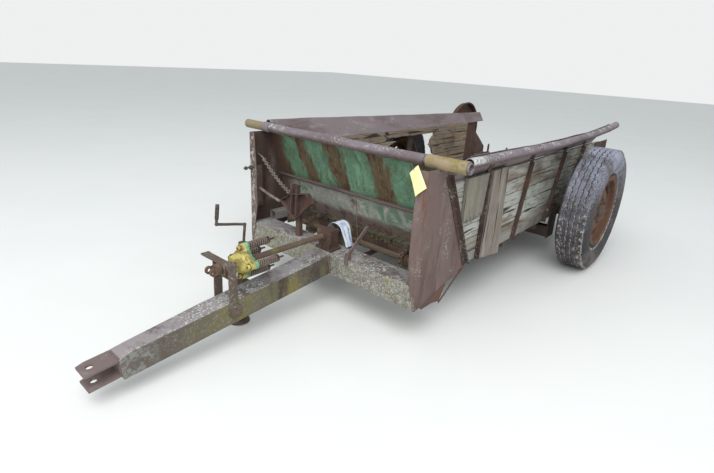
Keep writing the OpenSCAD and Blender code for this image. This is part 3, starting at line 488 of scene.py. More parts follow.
sill_crust = rusted("sill_crust", "mossy_steel", (138, 136, 132), (104, 98, 92), (160, 158, 154), reds=0.08,
                    lichen=0.3, streak=(1, 0.5, 1), shift=57.0)
dark_steel = rusted("dark_steel", "dark_steel", (84, 74, 68), (50, 43, 39), (116, 106, 99), reds=0.15,
                    lichen=0.3, pits=0.0012, shift=13.0)
shaft_steel = rusted("shaft_steel", "shaft_steel", (98, 84, 72), (60, 50, 44), (126, 114, 98), reds=0.15,
                     lichen=0.15, moss=0.25, pits=0.001, shift=21.0)
pipe_rust = rusted("pipe_rust", "khaki_pipe", (120, 111, 117), (92, 80, 80), (158, 152, 158), reds=0.05,
                   lichen=0.5, streak=(0.6, 1, 1), shift=31.0, more=pipe_marks)
rim_rust = rusted("rim_rust", "orange_rust", (98, 72, 58), (60, 44, 37), (118, 98, 86), (128, 74, 46),
                  reds=0.3, lichen=0.0, pits=0.001, shift=35.0)
bolt_rust = rusted("bolt_rust", "orange_rust", (94, 74, 65), (60, 45, 39), (132, 116, 104), (112, 72, 54),
                   reds=0.2, lichen=0.35, pits=0.0006, shift=44.0)
spring_steel = rusted("spring_steel", "dark_steel", (114, 103, 94), (92, 81, 73), (138, 128, 118),
                      reds=0.05, lichen=0.0, pits=0.0004, shift=75.0)
stand_rust = rusted("stand_rust", "dark_steel", (94, 82, 74), (58, 49, 44), (122, 110, 100), reds=0.2,
                    lichen=0.65, pits=0.0012, shift=79.0)

# %% [markdown]
# ## Mossy channel
# The tongue and the beam lie flat and stay damp. Their tops carry a grey crust with white
# lichen, their sides a yellow-green algae film, and clean streaks show where water drips
# off a corner. Masks from the surface direction put each growth on the right face.

# %% The mossy steel
def mossy():
    f = Finish("mossy_steel", (100, 90, 85), 0.9, "mossy_steel")
    broad = f.noise(3.0, EVEN, 5, 0.6, 0.3)
    fine = f.noise(46, EVEN, 6, 0.72)
    top = f.facing("Z", 0.3, 0.75)
    side_face = f.sum("SUBTRACT", 1.0, top)
    hitch_end = f.step(f.axis("Y"), -1.75, -2.1)
    f.paint((74, 64, 59), f.step(broad, 0.46, 0.64), 0.85)
    f.paint((150, 146, 147), f.times(top, f.cloud(0.38, 0.56, 6, EVEN, 6, 0.7, 0.3, 4)), 0.85)
    f.paint((144, 135, 138), f.times(top, hitch_end, f.step(fine, 0.66, 0.42)), 0.75)
    film = f.times(side_face, f.step(f.axis("Y"), -2.3, -1.9),
                   f.cloud(0.36, 0.54, 3.4, (1, 1, 0.5), 5, 0.65, 0.4, 9))
    f.paint((110, 107, 80), film, 0.75)
    olive = f.times(film, f.cloud(0.47, 0.6, 5.2, (1, 1, 0.6), 5, 0.7, 0.4, 15),
                    f.step(f.axis("Y"), -2.1, -1.7))
    f.paint((128, 117, 50), olive, 0.85)
    f.paint((98, 90, 83), f.times(side_face, hitch_end, f.cloud(0.4, 0.55, 7, EVEN, 5, 0.7, 0.4, 19)), 0.7)
    front = f.facing("Y", -0.5, -0.8)
    f.paint((118, 112, 100), f.times(front, f.cloud(0.4, 0.56, 4.4, EVEN, 5, 0.7, 0.4, 31)), 0.7)
    f.paint((160, 162, 156), f.times(front, f.cloud(0.44, 0.6, 26, EVEN, 6, 0.8, 0.5, 33)), 0.6)
    f.paint((204, 206, 202), f.times(front, f.cloud(0.54, 0.62, 95, EVEN, 5, 0.75, 0.4, 34)), 0.8)
    f.paint((118, 120, 102), f.times(film, f.step(fine, 0.5, 0.66), f.step(f.axis("Y"), -2.2, -1.8)), 0.6)
    drip = f.step(f.distance(f.axis("Y"), -1.452), 0.055, 0.02)
    f.paint((70, 58, 50), f.times(drip, side_face, f.cloud(0.36, 0.5, 9, (1, 1, 0.3), 4)), 0.85)
    middle = f.step(f.distance(f.axis("Y"), -1.6), 0.75, 0.2)
    more = f.sum("MULTIPLY", middle, 0.06)
    field = f.step(f.sum("ADD", f.noise(3.6, EVEN, 5, 0.65, 0.3, 23), more), 0.46, 0.6)
    flecks = f.cloud(0.52, 0.59, 58, EVEN, 4, 0.72, 0.5, 3)
    f.paint((174, 178, 173), f.times(field, flecks, f.scaled(top, 0.85, 0.15)), 0.95)
    f.paint((208, 210, 206), f.times(field, f.spots(60, 0.32), f.scaled(top, 0.8, 0.15)), 0.9)
    patch = f.times(side_face, f.step(f.axis("Y"), -2.2, -2.26),
                    f.cloud(0.47, 0.56, 24, EVEN, 6, 0.78, 0.4, 37))
    f.paint((140, 143, 137), patch, 0.7)
    f.paint((62, 54, 50), f.step(fine, 0.6, 0.76), 0.6)
    f.relief(fine, 0.0009).relief(flecks, 0.0007).relief(broad, 0.002)
    return f.done()


mossy_steel = mossy()
print(mossy_steel.name, len(mossy_steel.node_tree.nodes), "nodes")

# %% [markdown]
# ## The green front panel
# The sloping panel still has most of its green paint. Rust has run down it in wide brown
# bands, and below the rib it is caked with pale dirt and bare brown steel. The bands are
# read off the photograph as places across the panel, bent by noise and leaning a little.

# %% Streaked green paint
def streaked_green():
    f = Finish("green_paint", (88, 122, 98), 0.72, "green_paint")
    x, z = f.axis("X"), f.axis("Z")
    wander = f.sum("MULTIPLY", f.sum("SUBTRACT", f.noise(5, (1, 1, 0.6), 5, 0.7, 0.6), 0.5), 0.16)
    lean = f.sum("ADD", f.sum("ADD", x, f.sum("MULTIPLY", f.sum("SUBTRACT", z, 0.95), 0.25)), wander)
    fine = f.noise(30, (1.2, 1, 0.35), 6, 0.72)
    f.paint((112, 150, 124), f.cloud(0.44, 0.6, 9, (1, 1, 0.5), 6, 0.7, 0.5), 0.75)
    f.paint((62, 88, 66), f.cloud(0.5, 0.64, 14, (1.2, 1, 0.4), 5, 0.7, 0.8, 5), 0.75)
    f.paint((92, 84, 58), f.step(fine, 0.52, 0.68), 0.8)
    f.paint((86, 68, 46), f.cloud(0.55, 0.65, 52, (1, 1, 0.6), 5, 0.75, 0.3, 12), 0.5)
    ragged = f.sum("MULTIPLY", f.sum("SUBTRACT", f.noise(17, (1.5, 1, 0.22), 5, 0.72, 0.3, 14), 0.5), 0.22)
    for middle, half in ((-0.415, 0.05), (-0.125, 0.06), (0.245, 0.075), (-0.7, 0.06), (0.6, 0.05)):
        away = f.sum("ADD", f.distance(lean, middle), ragged)
        band = f.step(away, half * 1.5, half * 0.6)
        f.paint((90, 70, 50), band, 0.92)
        spared = f.times(band, f.cloud(0.57, 0.64, 21, (1.5, 1, 0.2), 5, 0.72, 0.4, middle + 6))
        f.paint((88, 108, 80), spared, 0.7)
        f.paint((66, 48, 38), f.times(band, f.cloud(0.46, 0.6, 16, (1.4, 1, 0.25), 5, 0.7, 0.4, middle)), 0.9)
        f.paint((122, 92, 66), f.times(band, f.cloud(0.55, 0.68, 40, (1.4, 1, 0.3), 4, 0.7)), 0.7)
    edge = f.sum("ADD", z, f.sum("MULTIPLY", wander, 0.5))
    low = f.step(edge, 0.715, 0.655)
    dirty = f.times(low, f.cloud(0.36, 0.5, 6, (1, 1, 0.8), 6, 0.7, 0.5, 8))
    f.paint((150, 150, 142), dirty, 0.9)
    f.paint((176, 179, 174), f.times(low, f.cloud(0.5, 0.62, 28, EVEN, 6, 0.75, 0.3, 2)), 0.7)
    spared = f.times(low, f.step(f.sum("ADD", x, wander), 0.1, 0.2),
                     f.cloud(0.42, 0.53, 8, (1, 1, 0.8), 5, 0.7, 0.5, 17))
    f.paint((84, 116, 92), spared, 0.85)
    base_rust = f.step(edge, 0.565, 0.52)
    f.paint((104, 86, 80), base_rust, 0.92)
    f.paint((76, 58, 52), f.times(base_rust, f.cloud(0.48, 0.6, 12, EVEN, 5, 0.7, 0.5)), 0.8)
    corner = f.times(f.step(f.sum("ADD", x, wander), 0.44, 0.54), f.step(edge, 0.70, 0.64))
    f.paint((110, 66, 54), corner, 0.9)
    f.paint((84, 62, 56), f.step(f.sum("ADD", x, wander), -0.56, -0.68), 0.85)
    f.relief(fine, 0.0007).relief(f.noise(90, EVEN, 4, 0.7), 0.0005)
    return f.done()


green_paint = streaked_green()
print(green_paint.name, len(green_paint.node_tree.nodes), "nodes")

# %% [markdown]
# ## Old boards
# The sides are softwood boards. Sun has bleached them silver, a little pale turquoise
# paint is left in the grain, and rain has opened long cracks. The grain is noise pulled
# out along the board, so a recipe takes the direction that the board runs in.

# %% The wood recipe
def weathered(name, slot, along, bare, silver, dark, paint=None, tint=None, cover=0.5, shift=0.0, more=None):
    f = Finish(name, bare, 0.92, slot)
    thin = tuple(0.06 if letter == along else 1.0 for letter in "XYZ")
    long = tuple(0.25 if letter == along else 1.0 for letter in "XYZ")
    grain = f.noise(90, thin, 5, 0.7, 0.2, shift)
    bands = f.noise(22, thin, 4, 0.6, 0.4, shift + 2)
    f.paint(silver, f.step(bands, 0.42, 0.6), 0.85)
    f.paint(dark, f.step(grain, 0.5, 0.68), 0.6)
    if paint:
        left = f.times(f.cloud(0.62 - 0.28 * cover, 0.72 - 0.28 * cover, 5.0, long, 6, 0.7, 0.4, shift + 5),
                       f.step(grain, 0.62, 0.5))
        f.paint(paint, left, 0.9)
        f.paint(tint, f.times(left, f.cloud(0.5, 0.62, 6, long, 5, 0.7, 0.5, shift + 8)), 0.75)
    cracks = f.cloud(0.6, 0.65, 34, thin, 3, 0.55, 0.5, shift + 12)
    f.paint((44, 38, 33), cracks, 0.9)
    if more:
        more(f)
    f.paint(dark, f.cloud(0.54, 0.7, 2.6, EVEN, 4, 0.6, 0.3, shift + 20), 0.55)
    f.relief(grain, 0.0016).relief(f.sum("SUBTRACT", 1.0, cracks), 0.003)
    return f.done()


board_wood = weathered("board_wood", "board_wood", "Y", (128, 117, 104), (154, 151, 144), (78, 69, 60),
                       (176, 177, 171), (152, 163, 155), 0.7)
inner_wood = weathered("inner_wood", "board_wood", "Y", (148, 128, 104), (130, 122, 112), (66, 55, 46),
                       (156, 148, 134), (128, 134, 124), 0.25, 3.0)
plank_wood = weathered("plank_wood", "plank_wood", "Z", (128, 118, 108), (150, 142, 134), (98, 88, 80),
                       shift=6.0,
                       more=lambda f: f.paint((122, 126, 110), f.step(f.axis("Y"), -0.36, -0.39), 0.45))
floor_wood = weathered("floor_wood", "floor_wood", "Y", (88, 78, 64), (104, 98, 84), (52, 46, 38),
                       (98, 100, 66), (112, 108, 60), 0.3, 9.0)
print("woods:", [m.name for m in (board_wood, inner_wood, plank_wood, floor_wood)])

# %% [markdown]
# ## A board as a loft
# A weathered board isn't a box. Its ends splinter along the grain, its edges round off and
# its faces carry long furrows. So each board is lofted from one ragged end to the other:
# rings of points, each moved in by a noise that is long along the grain and fine across.

# %% One board
# How deep the furrows of the grain are
FURROW = 0.0016


def board(shape, start, along, wide, thick, seed, ragged=(0.012, 0.012), step=0.03, rows=18,
          low=None, high=None, lean=(0.0, 0.0), warp=0.002):
    """start is a corner; along, wide and thick are vectors. low and high are functions of how far
    along the board is that give its edges as shares of its width."""
    start, along, wide, thick = (Vector(v) for v in (start, along, wide, thick))
    count = max(4, round(along.length / step))
    way, across, deep = along.normalized(), wide.normalized(), thick.normalized()
    rings = []

    def fray(t, face, end):
        n = noise.fractal(Vector((t * wide.length * 90, face * 1.7, seed * 3.1 + end * 9)), 0.9, 2.1, 3)
        return max(0.0, min(1.0, 0.45 + 0.75 * n))

    for i in range(count + 1):
        u = i / count
        ring = []
        for face in (1, 0):
            for j in range(rows + 1):
                t = j / rows if face else 1 - j / rows
                a = low(u) if low else 0.0
                b = high(u) if high else 1.0
                w = (a + (b - a) * t) * wide.length
                front = ragged[0] * fray(t, face, 0) + lean[0] * t
                back = ragged[1] * fray(t, face, 1) - lean[1] * t
                if lean[0] or lean[1]:
                    s = front + (along.length - front - back) * u
                else:
                    s = u * along.length + front * max(0.0, 1 - i / 3) - back * max(0.0, 1 - (count - i) / 3)
                cut = FURROW * abs(noise.noise(Vector((s * 2.2, w * 170, seed * 7.7 + face)))) * 2
                split = noise.noise(Vector((s * 0.9, w * 42, seed * 5.3)))
                cut += 0.004 * max(0.0, split - 0.52) / 0.3
                if j in (0, rows):
                    cut += 0.0022 + 0.0025 * abs(noise.noise(Vector((s * 14, seed, t))))
                rim = 0.0018 * noise.noise(Vector((s * 22, seed * 2.3, t * 5))) if j in (0, rows) else 0.0
                bow = warp * noise.noise(Vector((s * 1.1, seed * 1.9, 0)))
                depth = (thick.length - cut if face else cut) + bow * (0.5 if thick.length > 0.01 else 0)
                ring.append(start + way * s + across * (w - abs(rim) * (1 if t > 0.5 else -1)) + deep * depth)
        rings.append(ring)
    base = len(shape.points)
    shape.rings(rings, caps=False)
    m = 2 * (rows + 1)
    for end in (0, len(rings) - 1):
        for j in range(rows):
            a = base + end * m
            q = (a + j, a + j + 1, a + m - 2 - j, a + m - 1 - j)
            shape.faces.append(q if end else q[::-1])


print("board recipe ready")

# %% [markdown]
# ## The side boards
# Each side has five courses. The left side is whole but for one bite, and it shows paint.
# The right side, seen across the box, has lost the middle of two courses: the broken ends
# taper off in splinters. The table gives each right-hand board as it is in the drawing.

# %% Left and right boards
# Half the box's width, a board's thickness, the courses' pitch and a board's height
HALF = 736
THICK = 28
COURSE = 100
HIGH = 96
# Top of the sill, rear end of the boards, and how far the front panel leans for each millimetre up
SILL = 428
END = 2950
SLANT = 0.336
# The course with a bite out of its top edge, and where the bite is
BITTEN = 2
BITE_Y = 370


def front_y(z):
    """Where a board starts behind the sloping front panel."""
    return 58 + (1023.7 - z) * SLANT


def bite(y):
    """How high the bitten board still stands at a place, as a share of its height."""
    return 1.0 - 0.82 * max(0.0, min(1.0, (30 - abs(y - BITE_Y)) / 9))


left_boards = Shape()
for i in range(5):
    y0 = front_y(SILL + i * COURSE)
    bitten = i == BITTEN
    board(left_boards, at(HALF - THICK, y0, SILL + i * COURSE), Vector((0, (END - y0) / 1000, 0)),
          Vector((0, 0, HIGH / 1000)), Vector((THICK / 1000, 0, 0)), i + 1.5,
          high=(lambda u, y0=y0: bite(u * (END - y0) + y0)) if bitten else None,
          lean=(-HIGH * SLANT / 1000, 0.0), step=0.012 if bitten else 0.026)
left_boards.piece("boards_left", board_wood, nodes=["side_boards"])

# Course, start, end, how far both ends lean (top against bottom), and how much of the foot is eaten
RIGHT = [[4, 0, 1430, 0, -18, 0], [4, 1426, 2280, 0, 0, 36], [4, 2230, END, 24, 0, 0],
         [3, 0, 1330, 0, 250, 0], [3, 2150, END, 62, 0, 0],
         [2, 0, 1540, 0, -72, 0], [2, 2250, END, -70, 0, 0],
         [1, 0, END, 0, 0, 0], [0, 0, END, 0, 0, 0]]
right_boards = Shape()
for k, (i, y0, y1, more0, more1, eaten) in enumerate(RIGHT):
    if not y0:
        y0, more0 = front_y(SILL + i * COURSE), -HIGH * SLANT
    low = (lambda u: eaten / HIGH * (0.9 + 0.25 * noise.noise(Vector((u * 9, 3, 1))))) if eaten else None
    whole_front, whole_back = y0 <= 300, y1 == END
    board(right_boards, at(THICK - HALF, y0, SILL + i * COURSE), Vector((0, (y1 - y0) / 1000, 0)),
          Vector((0, 0, HIGH / 1000)), Vector((-THICK / 1000, 0, 0)), k + 11.5, low=low,
          ragged=(0.006 if whole_front else 0.03, 0.01 if whole_back else 0.05),
          lean=(more0 / 1000, more1 / 1000), step=0.022)
right_boards.piece("boards_right", inner_wood, nodes=["side_boards"])
print("side boards:", made["boards_left"], made["boards_right"])

# %% [markdown]
# ## Patch planks and floor
# Two odd planks were nailed upright over the left side. They were never painted, so they
# are plain grey-brown with the grain standing up. The floor boards lie under the slats,
# darker and damp, with green between them.

# %% Planks and floor boards
patches = Shape()
plank_thick = Vector((0.026, 0, 0))
board(patches, at(HALF, 612, 356), Vector((0, 0, 0.588)), Vector((0, 0.266, 0)), plank_thick, 31.0,
      ragged=(0.006, 0.004), step=0.02, rows=36, high=lambda u: 1 - 0.21 * u, lean=(-0.038, 0.004))


def broken_low(u):
    """The first plank widens upwards; its lower rear corner is broken off."""
    return 0.88 + 0.4 * u * 0.3 if u < 0.3 else 0.92 + 0.08 * (u - 0.3) / 0.7


board(patches, at(HALF, 285, 648), Vector((0, 0, 0.292)), Vector((0, 0.268, 0)), plank_thick, 33.0,
      ragged=(0.062, 0.004), step=0.016, rows=40, low=lambda u: 0.041 * (1 - u), high=broken_low)
patches.piece("patch_planks_worn", plank_wood, nodes=["patch_planks"])

floor = Shape()
pitch = 2 * (HALF - 60) / 9
for i in range(9):
    x0 = -HALF + 60 + i * pitch + (0 if i == 0 else 3)
    x1 = -HALF + 60 + (i + 1) * pitch - (0 if i == 8 else 3)
    board(floor, at(x0, 320, 362), Vector((0, 2.61, 0)), Vector(((x1 - x0) / 1000, 0, 0)),
          Vector((0, 0, 0.04)), i + 41.5, ragged=(0.012, 0.01), step=0.05, rows=16, warp=0.0)
floor.piece("floor_boards_worn", floor_wood, nodes=["floor_boards"])
print("planks:", made["patch_planks_worn"], "floor:", made["floor_boards_worn"])

# %% [markdown]
# ## Worn copies of the steel parts
# CAD edges are razor sharp, and steel plate is never quite flat after forty years. A worn
# copy starts from the CAD node's own mesh: its split corners are welded, its edges are
# bevelled, and thin plate is cut finer and pushed about by a smooth noise of a few
# millimetres. The copy then stands for the node, and the node stays for collision,
# hidden.

# %% The wearing helper
# No plate is cut into more edges than this
MOST_EDGES = 120000


def worn(node, finish, edge, dent, wave, cell):
    """edge is the bevel, dent how far the plate is pushed, wave how often, and cell how fine it is cut."""
    source = frame["nodes"][node]
    bm = bmesh.new()
    bm.from_mesh(source.data)
    bmesh.ops.remove_doubles(bm, verts=bm.verts, dist=2e-5)
    bmesh.ops.dissolve_limit(bm, angle_limit=math.radians(0.6), verts=bm.verts, edges=bm.edges)
    if edge:
        sharp = [e for e in bm.edges if e.is_manifold and e.calc_face_angle(0) > math.radians(34)]
        bmesh.ops.bevel(bm, geom=sharp, offset=edge, segments=2, profile=0.6, affect="EDGES",
                        clamp_overlap=True)
    if dent:
        bmesh.ops.triangulate(bm, faces=bm.faces)
        for _ in range(9):
            long = [e for e in bm.edges if e.calc_length() > cell]
            if not long or len(bm.edges) > MOST_EDGES:
                break
            bmesh.ops.subdivide_edges(bm, edges=long, cuts=1)
            bmesh.ops.triangulate(bm, faces=[f for f in bm.faces if len(f.verts) > 3])
        for v in bm.verts:
            broad = noise.noise_vector(v.co * wave)
            fine = noise.noise_vector(v.co * wave * 7 + Vector((0, 0, 2)))
            v.co += dent * broad + dent * 0.2 * fine
    mesh = bpy.data.meshes.new(node + "_worn")
    bm.to_mesh(mesh)
    bm.free()
    return make_piece(mesh, node + "_worn", finish, source["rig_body"], [node])


print("helper ready")

# %% Steel of the chassis
sleeve_moss = rusted("sleeve_moss", "khaki_pipe", (150, 134, 110), (112, 98, 78), (172, 158, 134),
                     (150, 120, 60), reds=0.2, lichen=0.1, moss=0.8, shift=41.0,
                     more=lambda f: f.paint((124, 115, 119), f.step(f.axis("X"), -0.3, -0.35), 0.95))
# Node, finish, bevel, dent, how often it waves, and how fine it is cut, the last four in metres or per metre
PLATES = [
    ("tongue", mossy_steel, 0.005, 0.0012, 2.0, 0.05),
    ("hitch_plates", mauve_rust, 0.003, 0.001, 4.0, 0.04),
    ("front_beam", mossy_steel, 0.005, 0.0015, 2.0, 0.05),
    ("sills", sill_crust, 0.003, 0, 0, 0),
    ("cross_members", brown_rust, 0.002, 0, 0, 0),
    ("axle", dark_steel, 0.003, 0, 0, 0),
    ("front_panel", green_paint, 0.0006, 0.006, 2.6, 0.04),
    ("panel_rib", mauve_rust, 0.0015, 0.002, 3.0, 0.06),
    ("pipe_sleeves", sleeve_moss, 0.0015, 0.0016, 16.0, 0.02),
    ("side_pipes", pipe_rust, 0.001, 0.0012, 9.0, 0.09),
    ("front_pipe", pipe_rust, 0.001, 0.0012, 9.0, 0.06),
    ("gussets", gusset_rust, 0.002, 0.003, 2.4, 0.045),
    ("corner_angles", stake_rust, 0.0015, 0.0025, 7.0, 0.04),
    ("flare_sheets", flare_rust, 0.0006, 0.007, 2.2, 0.06),
    ("stakes", stake_rust, 0.0015, 0.0025, 4.0, 0.045),
    ("rear_plates", brown_rust, 0.0015, 0.004, 2.4, 0.035),
    ("apron_slats", brown_rust, 0.001, 0.002, 5.0, 0.16),
    ("apron_shafts", shaft_steel, 0.001, 0, 0, 0),
    ("shaft_bearings", brown_rust, 0.003, 0.0015, 14.0, 0.022),
    ("drive_guard", brown_rust, 0.001, 0.004, 3.0, 0.05),
    ("gear_cases", shaft_steel, 0.004, 0.001, 10.0, 0.045),
    ("shaft_stand", stand_rust, 0.002, 0.0025, 9.0, 0.018),
    ("jack_tube", dark_steel, 0.0015, 0, 0, 0),
    ("jack_crank", dark_steel, 0.001, 0.0012, 12.0, 0.025),
    ("feed_tray", orange_rust, 0.0008, 0.004, 8.0, 0.014),
    ("control_lever", mauve_rust, 0.0015, 0.002, 9.0, 0.014),
    ("sill_end", orange_rust, 0.001, 0.006, 7.0, 0.016),
    ("beater", orange_rust, 0.0015, 0.0015, 8.0, 0.06),
    ("input_shaft", shaft_steel, 0.002, 0.0008, 12.0, 0.05),
    ("jack_leg", dark_steel, 0.0015, 0, 0, 0),
]
for node, finish, edge, dent, wave, cell in PLATES:
    worn(node, finish, edge, dent, wave, cell)
print("worn pieces:", {n: c for n, c in made.items() if n.endswith("_worn")})

# %% [markdown]
# ## The slip clutch
# The clutch on the drive shaft has a yellow cast housing, a pale green pressure plate and
# four long springs on bolts. Paint survives on it because it was greased. The springs are
# swept as true helixes, because a plain sleeve never catches the light between its coils.

# %% Clutch paints
def clutch_paint(name, base, worn_to, slot):
    f = Finish(name, base, 0.6, slot)
    f.paint(tuple(min(255, round(c * 1.18)) for c in base), f.cloud(0.5, 0.62, 22, EVEN, 5, 0.7, 0.4), 0.6)
    f.paint((88, 76, 40), f.cloud(0.5, 0.6, 16, EVEN, 6, 0.72, 0.5, 3), 0.7)
    f.paint(worn_to, f.cloud(0.55, 0.62, 26, EVEN, 6, 0.75, 0.6, 8), 0.9)
    f.paint((70, 60, 48), f.cloud(0.6, 0.7, 80, EVEN, 4, 0.7, 0.3, 5), 0.7)
    f.relief(f.noise(60, EVEN, 5, 0.7), 0.0008)
    return f.done()


clutch_yellow = clutch_paint("clutch_yellow", (178, 165, 92), (118, 94, 72), "clutch_yellow")
clutch_green = clutch_paint("clutch_green", (112, 158, 122), (84, 92, 66), "clutch_green")
worn("clutch_housing", clutch_yellow, 0.003, 0.0015, 18.0, 0.012)
worn("clutch_plate", clutch_green, 0.003, 0.0012, 18.0, 0.012)
print("clutch:", made["clutch_housing_worn"], made["clutch_plate_worn"])

# %% Four coil springs on their bolts
# Height of the shaft, ring that the springs stand on, their two ends, and a coil's middle radius
SHAFT_Z = 468
RING = 84
SPRING0 = -693
SPRING1 = -555
COIL = 18.2
TURNS = 9
STEPS = TURNS * 16
springs, spring_bolts, lobe_bolts = Shape(), Shape(), Shape()
for a in turn(4):
    cx, cz = RING * math.cos(a), SHAFT_Z + RING * math.sin(a)
    coil = []
    for k in range(STEPS + 1):
        t = k / STEPS
        y = SPRING0 + 3 + (SPRING1 - SPRING0 - 6) * t
        coil.append(at(cx + COIL * math.cos(TAU * t * TURNS), y, cz + COIL * math.sin(TAU * t * TURNS)))
    springs.tube(coil, 0.0042, 8)
    spring_bolts.tube([at(cx, y, cz) for y in (SPRING0, SPRING1, SPRING1 + 3)], 0.0115, 12)
    spring_bolts.tube([at(cx, y, cz) for y in (SPRING1, SPRING1 + 24, SPRING1 + 46)], 0.0058, 12)
    spring_bolts.turned([(0.006, 0), (0.0215, 0), (0.0215, 0.005), (0.006, 0.006)], at(cx, SPRING1, cz),
                        (0, 1, 0), 20)
    spring_bolts.turned([(0.006, 0.006), (0.0115, 0.006), (0.0115, 0.016), (0.009, 0.018), (0.006, 0.018)],
                        at(cx, SPRING1, cz), (0, 1, 0), 6)
    lobe_bolts.bolt(at(cx, -741, cz), (0, -1, 0), 0.0125, 0.010)
springs.piece("clutch_coils", spring_steel, "input_shaft", ["clutch_springs"], smooth=80)
spring_bolts.rough(0.0006, 90)
spring_bolts.piece("spring_bolts", dark_steel, "input_shaft", ["clutch_springs"])
lobe_bolts.piece("clutch_bolt_heads", orange_rust, "input_shaft")
print("springs:", made["clutch_coils"], "bolts:", made["spring_bolts"])

# %% [markdown]
# ## Tyres
# The tyres are worn ribbed implement tyres, dusty blue-grey, with fine cracks round the
# shoulders. The profile is turned like a pot, but each point of the tread asks a groove
# function how deep it is there, so the grooves can zigzag as the real ones do.

# %% Where the wheels are, and the tread's shape
near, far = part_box("tyre_left")
WHEEL_X, WHEEL_Y, WHEEL_Z = (round((a + b) / 2, 4) for a, b in zip(near, far))
CROWN = WHEEL_Z
# How much the tread drops towards its edges, and half its width
ROUND = 0.35
TREAD = 0.094
# The radius where the tyre sits on its rim, and the places of the grooves across the tread
BEAD = 0.2625
GROOVES = (-0.058, -0.02, 0.02, 0.058)
print("left wheel's middle:", (WHEEL_X, WHEEL_Y, WHEEL_Z))

# %% Cracked rubber
def rubber():
    f = Finish("tyre_rubber", (88, 88, 96), 0.82, "tyre_rubber")
    f.paint((112, 113, 124), f.cloud(0.42, 0.62, 5, EVEN, 5, 0.6, 0.3), 0.8)
    f.paint((58, 56, 60), f.cloud(0.5, 0.64, 11, EVEN, 6, 0.72, 0.4, 4), 0.75)
    f.paint((132, 126, 120), f.cloud(0.56, 0.66, 36, EVEN, 6, 0.75, 0.5, 8), 0.6)
    f.paint((112, 98, 80), f.times(f.step(f.axis("Z"), 0.32, 0.05), f.cloud(0.42, 0.6, 9, EVEN, 5)), 0.6)
    # Distance from the axle and from the wheel's middle give the side walls and the grooves
    across = f.sum("SUBTRACT", f.sum("ABSOLUTE", f.axis("X")), WHEEL_X)
    aside = f.sum("ABSOLUTE", across)
    squares = [f.sum("POWER", f.sum("SUBTRACT", f.axis(letter), middle), 2.0)
               for letter, middle in (("Y", WHEEL_Y), ("Z", WHEEL_Z))]
    out = f.sum("SQRT", f.sum("ADD", *squares))
    crown = f.sum("SUBTRACT", CROWN - 0.0004, f.sum("MULTIPLY", f.sum("MULTIPLY", across, across), ROUND))
    below = f.sum("SUBTRACT", crown, out)
    wall = f.step(aside, 0.104, 0.118)
    f.paint((104, 92, 84), wall, 0.6)
    low = f.step(f.axis("Z"), 0.85, 0.35)
    # Painted highlight: the upper part of the tyre is painted paler and bluer, as the sky lights it
    f.paint((152, 157, 175), f.times(f.step(f.axis("Z"), 0.55, 0.95),
                                     f.cloud(0.36, 0.6, 4, EVEN, 5, 0.65, 0.4, 20)), 0.8)
    # Painted shade: patches towards the bottom of the tyre are painted darker
    f.paint((54, 53, 56), f.times(low, f.cloud(0.3, 0.54, 4, EVEN, 5, 0.65, 0.4, 21)), 0.8)
    lip = f.times(f.step(below, 0.0012, 0.0022), f.step(aside, 0.1, 0.096))
    f.paint((178, 170, 162), f.times(lip, f.cloud(0.42, 0.54, 48, EVEN, 5, 0.75, 0.4, 25),
                                     f.scaled(low, 0.7, 0.3)), 0.9)
    # Painted shade in the bottoms of the tread grooves
    f.paint((46, 44, 46), f.times(f.step(below, 0.0045, 0.0065), f.step(aside, 0.094, 0.09)), 0.85)
    crack = f.node("ShaderNodeTexVoronoi", feature="DISTANCE_TO_EDGE")
    f.join(f.place, crack.inputs["Vector"])
    crack.inputs["Scale"].default_value = 55
    lines = f.times(f.step(crack.outputs["Distance"], 0.08, 0.02), f.cloud(0.42, 0.55, 6, EVEN, 4))
    f.paint((40, 38, 40), lines, 0.8)
    f.relief(f.noise(70, EVEN, 5, 0.7), 0.0008).relief(f.sum("SUBTRACT", 1.0, lines), 0.0012)
    return f.done()


tyre_rubber = rubber()
print(tyre_rubber.name, len(tyre_rubber.node_tree.nodes), "nodes")


# %% Turn each tyre with its tread
def tyre_profile():
    """Pairs of distance from the axle and place across, from one bead over the crown to the other."""
    wall, middle, lip = 0.125, 0.385, 0.303
    arc = []
    for k in range(61):
        t = math.pi * k / 60
        arc.append((middle + (CROWN - middle) * math.sin(t) ** 0.7,
                    wall * math.copysign(abs(math.cos(t)) ** 0.6, math.cos(t))))
    tread = [(CROWN - 0.0004 - x * x * ROUND, x) for x in [0.092 - 0.004 * i for i in range(47)]]
    crown = [p for p in arc if p[1] > TREAD] + tread + [p for p in arc if p[1] < -TREAD]
    return [(BEAD, 0.082), (lip, 0.086)] + crown + [(lip, -0.086), (BEAD, -0.082)]


def groove_depth(r, x, s):
    """Depth at a distance from the axle, a place across and a step s round the tyre."""
    zig = 0.003 * (1 if (s // 3) % 2 else -1)
    if r > 0.44 and abs(x) < TREAD:
        depth = max(0.0075 * max(0.0, 1 - (abs(x - groove - zig) / 0.0044) ** 4) for groove in GROOVES)
        return max(depth, 0.005) if abs(x) > 0.076 and s % 6 == 0 else depth
    return 0.0035 if r > 0.455 and abs(x) < 0.115 and s % 6 == 0 else 0.0


def tyre(side_sign):
    shape, around, profile = Shape(), 288, tyre_profile()
    rings = []
    for s, a in enumerate(turn(around)):
        ring = []
        for r, x in profile:
            depth = groove_depth(r, x, s)
            p = Vector((x * 9, math.cos(a) * 4, math.sin(a) * 4))
            depth += 0.0012 * (1 + noise.noise(p * 2.4 + Vector((side_sign * 5, 0, 0))))
            if 0.32 < r < 0.44 and abs(x) > 0.09:
                depth += 0.0008 * (1 + math.sin(r * 520))
            q = max(r - depth, BEAD)
            ring.append(Vector((side_sign * (WHEEL_X + x * (1 - depth * 2)),
                                WHEEL_Y + q * math.cos(a), WHEEL_Z + q * math.sin(a))))
        rings.append(ring)
    shape.rings(rings, closed=True, caps=False)
    return shape


